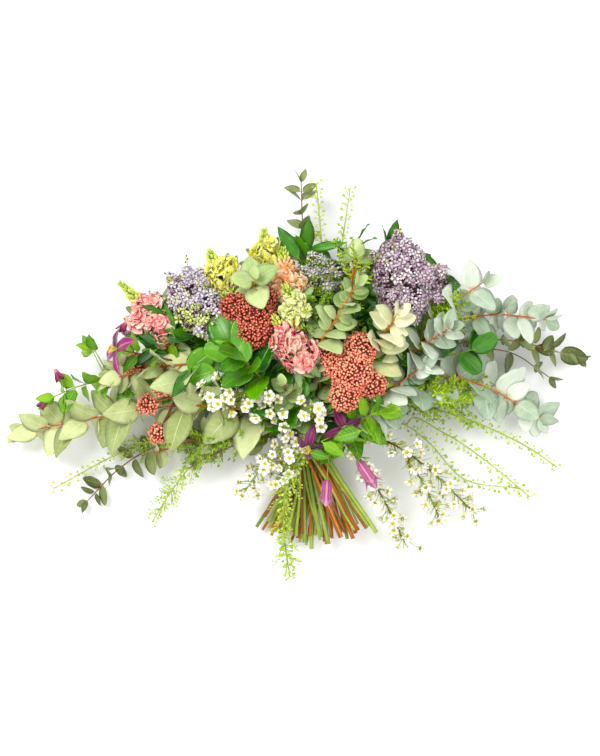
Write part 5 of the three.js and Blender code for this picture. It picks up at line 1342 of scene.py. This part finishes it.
print("lilac", total[0])

# Stock: double flowers of three whorls of waved petals, rings of buds up to the tip, and long leaves. A whorl
# is its share of the radius, its lift in degrees and its rise. A split head is a node of its own.
stock = {"gap": 13.5, "radius": 15.0, "varied": (0.62, 1.12), "kept": 0.88, "few": 16, "rings": 7,
    "leaf": 50.0, "collar": 12, "beyond": 30.0, "whorls": ((1.0, 2, -1.0), (0.8, 30, 1.0), (0.52, 60, 2.2)),
    "petal": {"ratio": 1.15, "p": 0.66, "q": 0.22, "stalk": 0.0, "cup": 0.1, "stem": 2.0, "rows": 7,
        "columns": 6, "thick": 0.3, "wave": 0.24, "waves": 1.7, "droop": 1.8, "twist": 0.7}}
stockHeads = {
    "stock_pink_centre": {"petal": "pinkPetal", "split": True},
    "stock_pink_left": {"petal": "pinkPetal", "split": True, "rings": 11},
    "stock_apricot": {"petal": "apricotPetal", "split": True},
    "stock_yellow": {"petal": "yellowPetal", "split": False},
    "stock_lime": {"petal": "limePetal", "split": False},
}
for number, (node, head) in enumerate(stockHeads.items()):
    lobes = lobePlaces[node]
    seed = 2500 + number * 70
    nodes = [node + "_head", node + "_stem"] if head["split"] else [node]
    lines = stemsOf(nodes[-1])
    layers = reachLobes(lines, lobes, "greenStem", seed)
    at, out = overLobes(lobes, stock["gap"], seed, -0.9)
    kept = draw(seed + 90, 0, 1, len(at)) < (stock["kept"] if len(at) > stock["few"] else 1.0)
    at, out = at[kept], out[kept]
    at = at + out * draw(seed + 1, -5.0, 4.5, len(at), 1) + draw(seed + 2, -4, 4, len(at), 3)
    out = unit(out + draw(seed + 3, -0.65, 0.65, len(at), 3))
    grown = stock["radius"] * draw(seed + 4, *stock["varied"], len(at))
    for whorl, (share, lift, rise) in enumerate(stock["whorls"]):
        petals = petalsRound(at, out, grown * share, 5, lift, rise, seed + 5 + whorl * 4)
        layers += growLeaves(petals, stock["petal"], head["petal"], seed + 20 + whorl * 6)
    layers.append(growBuds(at - out * 4, out, 3.0, 6.5, "calyx", seed + 40))
    layers.append(coreOf(lobes, 0.7, "stockCore", seed + 41))
    ways = unit(columnsOf(lobes, 5))
    tops = columnsOf(lobes, slice(0, 3)) + ways * (columnsOf(lobes, 4) - 2)[:, None]
    rings = head.get("rings", stock["rings"])
    for k in range(rings):
        higher = k / rings
        ring = around(ways, 5, np.full(len(ways), k * 0.7)) * (8.0 - 6.65 * higher)
        spots = (tops[:, None] + ring + ways[:, None] * (1.0 + 4.0 * k)).reshape(-1, 3)
        spots += draw(seed + 70 + k, -1.3, 1.3, len(spots), 3)
        leaning = unit(np.repeat(ways, 5, axis=0) + 0.1 * ring.reshape(-1, 3))
        finish = "budGreen" if k > 2 else head["petal"]
        wide, tall = 3.0 - 2.1 * higher, 5.2 - 3.15 * higher
        layers.append(growBuds(spots, leaning, wide, tall, finish, seed + 42 + k, 7, 8))
        roots, heads = spots - leaning * 7, spots - leaning * 2
        layers.append(growStalks(roots, heads, 0.7, "limeStem", seed + 80 + k, 0.0))
    blades = spiral(lines[0], 40, lines[0]["arcs"][-1] - 6, 5.0, 64, stock["leaf"], seed + 50, 0.1, 0.8)
    layers += growLeaves(blades, leafShapes["blade"], "stockLeaf", seed + 56)
    under = collar(lobes, stock["collar"], stock["beyond"], (-0.25, 0.2), seed + 58)
    layers += growLeaves(under, leafShapes["blade"], "stockLeaf", seed + 64)
    makePiece(camel(node), layers, nodes)
print("stock", total[0])

# Rice flower: small buds packed in rounded clusters all over each lobe, and needle leaves.
rice = {"gap": 3.2, "bud": 1.8, "varied": (0.65, 1.25), "clusters": 10.0, "push": 4.4, "lowest": -0.75,
    "needle": 15.0, "leaf": 44.0, "collar": 14, "beyond": 12.0}
riceHeads = {"rice_dark": "roseBud", "rice_pink": "pinkBud"}


# The buds of some lobes, with those between the clusters left out, and a core under them.
def riceBuds(lobes, bud, seed):
    at, out = overLobes(lobes, rice["gap"], seed, rice["lowest"])
    middles, _ = overLobes(lobes, rice["clusters"], seed + 1, rice["lowest"])
    place, lean, gap = clustered(at, out, middles, rice["clusters"] * 0.56, rice["push"])
    shown = gap < draw(seed + 6, 0.95, 1.6, len(at))
    place = (place + draw(seed + 2, -0.8, 0.8, len(at), 3))[shown]
    width = rice["bud"] * draw(seed + 3, *rice["varied"], len(place))
    buds = growBuds(place, lean[shown], width, width * 1.25, bud, seed + 4, 6, 6)
    return [buds, coreOf(lobes, 0.92, "roseCore", seed + 5)]


for number, (node, bud) in enumerate(riceHeads.items()):
    lobes = lobePlaces[node]
    seed = 2900 + number * 60
    lines = stemsOf(node + "_stem")
    layers = reachLobes(lines, lobes, "brownStem", seed) + riceBuds(lobes, bud, seed + 1)
    needles = spiral(lines[0], 60, lines[0]["arcs"][-1], 3.0, 48, rice["needle"], seed + 10, 0.2)
    layers += growLeaves(needles, leafShapes["needle"], "needleLeaf", seed + 16)
    hearts = spiral(lines[0], 50, lines[0]["arcs"][-1] - 6, 6.0, 72, rice["leaf"], seed + 40, 0.0, 0.85)
    layers += growLeaves(hearts, leafShapes["heart"], "shadeLeaf", seed + 46)
    under = collar(lobes, rice["collar"], rice["beyond"], (-0.3, 0.3), seed + 22)
    layers += growLeaves(under, leafShapes["blade"], "needleLeaf", seed + 30)
    makePiece(camel(node), layers, [node + "_head", node + "_stem"])

# The left sprig has a small cluster at the end of each twig. Its solid's clusters top out in points with six
# edges, which fall by drop, and lean less than lean to the side.
sprig = {"node": "rice_left", "radius": 10.0, "half": 8.5, "lean": 1.3, "drop": (3.0, 5.6), "least": 2}
spots, touching = readNode(sprig["node"])
poles = []
for n in np.flatnonzero(touching.sum(1) == 6):
    ways = spots[touching[n]] - spots[n]
    upright = np.linalg.norm(ways[:, :2].mean(0)) < sprig["lean"]
    drops = -ways[:, 2]
    if upright and sprig["drop"][0] < drops.mean() < sprig["drop"][1] and drops.min() > sprig["least"]:
        poles.append(tuple(spots[n] - up * sprig["half"]) + (sprig["radius"], sprig["half"], (0, 0, 1)))
lines = stemsOf(sprig["node"])
layers = reachLobes(lines, poles, "brownStem", 3050) + riceBuds(poles, "pinkBud", 3051)
for n, line in enumerate(lines):
    needles = spiral(line, 70 if n == 0 else 4, line["arcs"][-1], 2.6, 42, rice["needle"], 3060 + n, 0.1)
    layers += growLeaves(needles, leafShapes["needle"], "needleLeaf", 3070 + n)
makePiece(camel(sprig["node"]), layers, [sprig["node"]])
print("rice flower", len(poles), "clusters at the left", total[0])


# Clematis flowers: the open one's petals and threads, and bells and buds on stalks, all in millimetres.
clematis = {
    "tepal": {"ratio": 0.5, "p": 0.6, "q": 0.66, "stalk": 0.0, "cup": 0.3, "wave": 0.04, "waves": 2,
        "stem": 2.5, "rows": 14, "columns": 8, "thick": 0.4, "twist": 0.3},
    "bellPoints": 4,
    "bellWidth": 6.3,
    "bellFlare": 5.4,
    "threads": 18,
    "threadEnds": (3.0, 6.0),
    "threadLength": 10.0,
    "leaf": 30.0,
    "leafGap": 26.0,
}


# A bell of length L and radius r sin(3.6 u), closed over its top. Past 0.55 L it flares by the square of the
# share left, most along its four points, and the hollows between them stop short. Its wall turns up inside.
def growBell(at, axis, length, material, seed):
    u = np.concatenate([[0], np.linspace(0.01, 1, 14), np.linspace(1, 0.2, 9)[1:], [0.2]])
    inner = np.concatenate([np.zeros(15), np.ones(9)])
    closed = np.ones(len(u))
    closed[[0, -1]] = 0
    turn = np.linspace(0, 2 * np.pi, 40, endpoint=False)
    point = 1 - np.abs(np.sin(clematis["bellPoints"] / 2 * turn)) ** 1.7
    body = clematis["bellWidth"] * (np.sin(np.clip(u * 3.6, 0, 1) * np.pi / 2) ** 0.7 + 0.2 * u)
    flare = np.clip((u - 0.55) / 0.45, 0, 1) ** 2
    ribbed = 1 + 0.04 * np.cos(12 * turn)
    flared = flare[:, None] * clematis["bellFlare"] * (0.45 + 0.55 * point)
    radius = (body[:, None] * ribbed + flared) - 0.5 * inner[:, None]
    down = length * (u[:, None] - 0.2 * flare[:, None] * (1 - point)) - 2.0
    level, over = across(axis)
    out = np.cos(turn)[:, None] * level + np.sin(turn)[:, None] * over
    points = at + (radius * closed[:, None])[..., None] * out + down[..., None] * axis
    s = np.cos(2 * turn)[None, None]
    return layer(points[None], material, u[None, :, None], s, draw(seed, 0.2, 0.8, 1, 1, 1))


# Bells and buds of the solids, by their shapes there: lengths in millimetres, and shares of a bell's length.
solidBlooms = {"uneven": 0.4, "throat": 14, "throatShare": 0.45, "top": 0.5, "tip": (10, 12.5), "bud": 22.0}


# A bell's throat touches two rings of four corners, and a bud's tip one ring of eight. Gives each one's kind,
# the place of its stalk's end, its axis and its length.
def readBlooms(name):
    spots, touching = readNode(name)
    blooms = []
    for n in np.flatnonzero(touching.sum(1) == 8):
        near = spots[touching[n]]
        far = np.sort(np.linalg.norm(near - spots[n], axis=1))
        way = near.mean(0) - spots[n]
        (low, high), length = solidBlooms["tip"], np.linalg.norm(way)
        twoRings = max(np.ptp(far[:4]), np.ptp(far[4:])) < solidBlooms["uneven"] and far[4] > 1.25 * far[3]
        if twoRings and length > solidBlooms["throat"]:
            length /= solidBlooms["throatShare"]
            blooms.append(("bell", spots[n] - unit(way) * solidBlooms["top"] * length, unit(way), length))
        elif np.ptp(far) < solidBlooms["uneven"] and low < far[0] < high:
            blooms.append(("bud", spots[n] + unit(way) * solidBlooms["bud"], unit(-way), solidBlooms["bud"]))
    return blooms


# The finish of each stem's petals, and how many times more the open ones bend than the solids' petals.
clematisFlowers = {
    "clematis_open": ("purplePetal", 1.2),
    "clematis_dark_right": ("plumPetal", 2.6),
    "clematis_dark_left": ("plumPetal", 2.6),
    "clematis_bells": ("mauvePetal", 1.0),
}
for number, (node, (petal, droop)) in enumerate(clematisFlowers.items()):
    seed = 3200 + number * 80
    blooms, tepals = readBlooms(node), readLeaves(node, ("tepal",))
    hearts = [bloom[1] for bloom in blooms]
    if len(tepals["size"]):
        hearts.append(tepals["at"].mean(0))
    lines = stemsOf(node, np.array(hearts), 0.75)
    layers = [growStem(line, "greenStem" if n else "brownStem", 8, 0.4, 0.15) for n, line in enumerate(lines)]
    layers += tieIn(lines, np.array(hearts), 1.0, "greenStem", seed)
    arcs = np.arange(60, lines[0]["arcs"][-1] - 10, clematis["leafGap"])
    extra = pairs(lines[0], arcs, 55, clematis["leaf"], seed + 1, 0.2, 0.5)
    layers += growLeaves(extra, leafShapes["clematis"], "clematisLeaf", seed + 8)
    if len(tepals["size"]):
        heart = hearts[-1]
        axis = unit(tepals["face"].sum(0))
        layers += growLeaves(tepals, {**clematis["tepal"], "droop": droop}, petal, seed + 14)
        ring = around(axis[None], clematis["threads"], np.array([0.3]))[0]
        threads = heart + axis * 2.0 + ring * 1.5
        spread = draw(seed + 20, *clematis["threadEnds"], len(ring), 1)
        tips = heart + axis * clematis["threadLength"] + ring * spread
        layers.append(growStalks(threads, tips, 0.4, "anther", seed + 21, 0.0))
        layers.append(growBuds(tips, unit(tips - threads), 0.7, 1.5, "anther", seed + 22, 5, 5))
        layers.append(growBuds((heart + axis * 3.5)[None], axis[None], 2.8, 5.0, "calyx", seed + 23, 8, 10))
    for n, (kind, at, axis, length) in enumerate(blooms):
        if kind == "bell":
            inside = (at + axis * length * 0.45)[None]
            layers.append(growBell(at, axis, length, petal, seed + 30 + n))
            layers.append(growBuds((at - axis * 1.5)[None], axis[None], 2.6, 2.4, "calyx", seed + 34))
            layers.append(growBuds(inside, axis[None], 2.2, length * 0.35, "anther", seed + 36, 8, 8))
        else:
            middle = (at + axis * length * 0.42)[None]
            tall = length * 0.56
            layers.append(growBuds(middle, axis[None], 4.6, tall, petal, seed + 40 + n, 12, 16, 0.06))
    makePiece(camel(node), layers, [node])
    print(node, [bloom[0] for bloom in blooms], len(tepals["size"]), "tepals")


# The tie: turns of twine laid round the outside of the solid band, with a knot and two ends on top. The
# outline is followed by its angle from its middle, while y runs evenly from one side of the band to the other.
twine = {"radius": 0.95, "turns": 5, "width": 7.4, "ends": 26.0, "inside": 1.1, "onOutline": 0.985}
spots, _ = readNode("tie")
section = spots[np.abs(spots[:, 1] - spots[:, 1].max()) < 0.01][:, [0, 2]]
middle = section.mean(0)
reach = np.linalg.norm(section - middle, axis=1)
angle = np.arctan2(section[:, 1] - middle[1], section[:, 0] - middle[0])
ordered = np.argsort(angle)
circle = 2 * np.pi
nearby = np.interp(angle[ordered], angle[ordered], reach[ordered], period=circle)
outer = ordered[reach[ordered] > twine["onOutline"] * nearby]
turn = np.linspace(0, circle * twine["turns"], 64 * twine["turns"])
hull = [np.interp(turn % circle, angle[outer] % circle, section[outer, k], period=circle) for k in range(2)]
inward = unit(middle - np.stack(hull, axis=1)) * twine["inside"]
run = np.linspace(-twine["width"] / 2, twine["width"] / 2, len(turn)) + 0.25 * np.sin(turn * 3.1)
coil = np.column_stack([hull[0] + inward[:, 0], run, hull[1] + inward[:, 1]])
mean = np.ones(7) / 7
coil = np.stack([np.convolve(np.pad(coil[:, k], 3, mode="edge"), mean, "valid") for k in range(3)], axis=1)
coil[:, 2] = np.maximum(coil[:, 2], twine["radius"])
layers = [growStem(resample(coil, np.full(len(coil), twine["radius"]), 2.2), "twine", 7, 0.5)]
crown = np.array([spots[:, 0].mean(), 0.0, spots[:, 2].max() - 0.4])
t = np.linspace(0, 1, 9)[:, None]
for side in (-1, 1):
    fall = 1.5 * np.sin(3.1 * t) - 7 * t**2
    hang = np.hstack([side * (3 + twine["ends"] * t * 0.6), -twine["ends"] * t * 0.75, fall])
    layers.append(growStem(resample(crown + hang, np.full(9, twine["radius"]), 2.5), "twine", 7, 0.6))
layers.append(growBuds(crown[None] + up * 0.4, np.array([[1.0, 0.0, 0.2]]), 2.3, 3.4, "twine", 3600, 9, 10))
makePiece("twineTie", layers, ["tie"])
print("tie", total[0], "triangles in all")


# Floor, light and camera. The camera looks straight down over the middle of the photograph's frame, and the
# plane is the height above the floor that the frame is measured at.
studio = {"floor": 6.0, "lens": 95.0, "distance": 2.62, "middle": (-0.0195, 0.0871), "plane": 0.07,
    "sky": 0.62}
floorMesh = bpy.data.meshes.new("floor")
half = studio["floor"] / 2
corners = [(-half, -half, 0), (half, -half, 0), (half, half, 0), (-half, half, 0)]
floorMesh.from_pydata(corners, [], [(0, 1, 2, 3)])
floor = bpy.data.objects.new("floor", floorMesh)
bpy.context.scene.collection.objects.link(floor)
paper = Finish("paleFloor", {"rough": 0.9, "shine": 0.1})
paper.colour(paper.blend(paper.noise(3.0, 2.0), (0.91, 0.91, 0.91, 1.0), (0.94, 0.94, 0.935, 1.0)))
floorMesh.materials.append(materials["paleFloor"])

lamps = {
    "keyLight": {"at": (-1.0, 1.0, 1.9), "power": 41.0, "size": 1.0},
    "fillLight": {"at": (1.3, 0.2, 1.7), "power": 18.0, "size": 1.8},
    "lowLight": {"at": (0.1, -1.5, 1.3), "power": 14.0, "size": 1.6},
}
target = np.array([0.0, 0.08, 0.05])
for name, lamp in lamps.items():
    data = bpy.data.lights.new(name, "AREA")
    data.energy = lamp["power"]
    data.size = lamp["size"]
    light = bpy.data.objects.new(name, data)
    light.location = lamp["at"]
    light.rotation_mode = "QUATERNION"
    light.rotation_quaternion = Vector((np.array(lamp["at"]) - target).tolist()).to_track_quat("Z", "Y")
    bpy.context.scene.collection.objects.link(light)
world = bpy.data.worlds.new("studio")
world.use_nodes = True
world.node_tree.nodes["Background"].inputs["Color"].default_value = (1.0, 1.0, 1.0, 1.0)
world.node_tree.nodes["Background"].inputs["Strength"].default_value = studio["sky"]
bpy.context.scene.world = world
bpy.context.scene.view_settings.view_transform = "Standard"

cameraData = bpy.data.cameras.new("camera")
cameraData.lens = studio["lens"]
camera = bpy.data.objects.new("camera", cameraData)
camera.location = (*studio["middle"], studio["plane"] + studio["distance"])
bpy.context.scene.collection.objects.link(camera)
bpy.context.scene.camera = camera
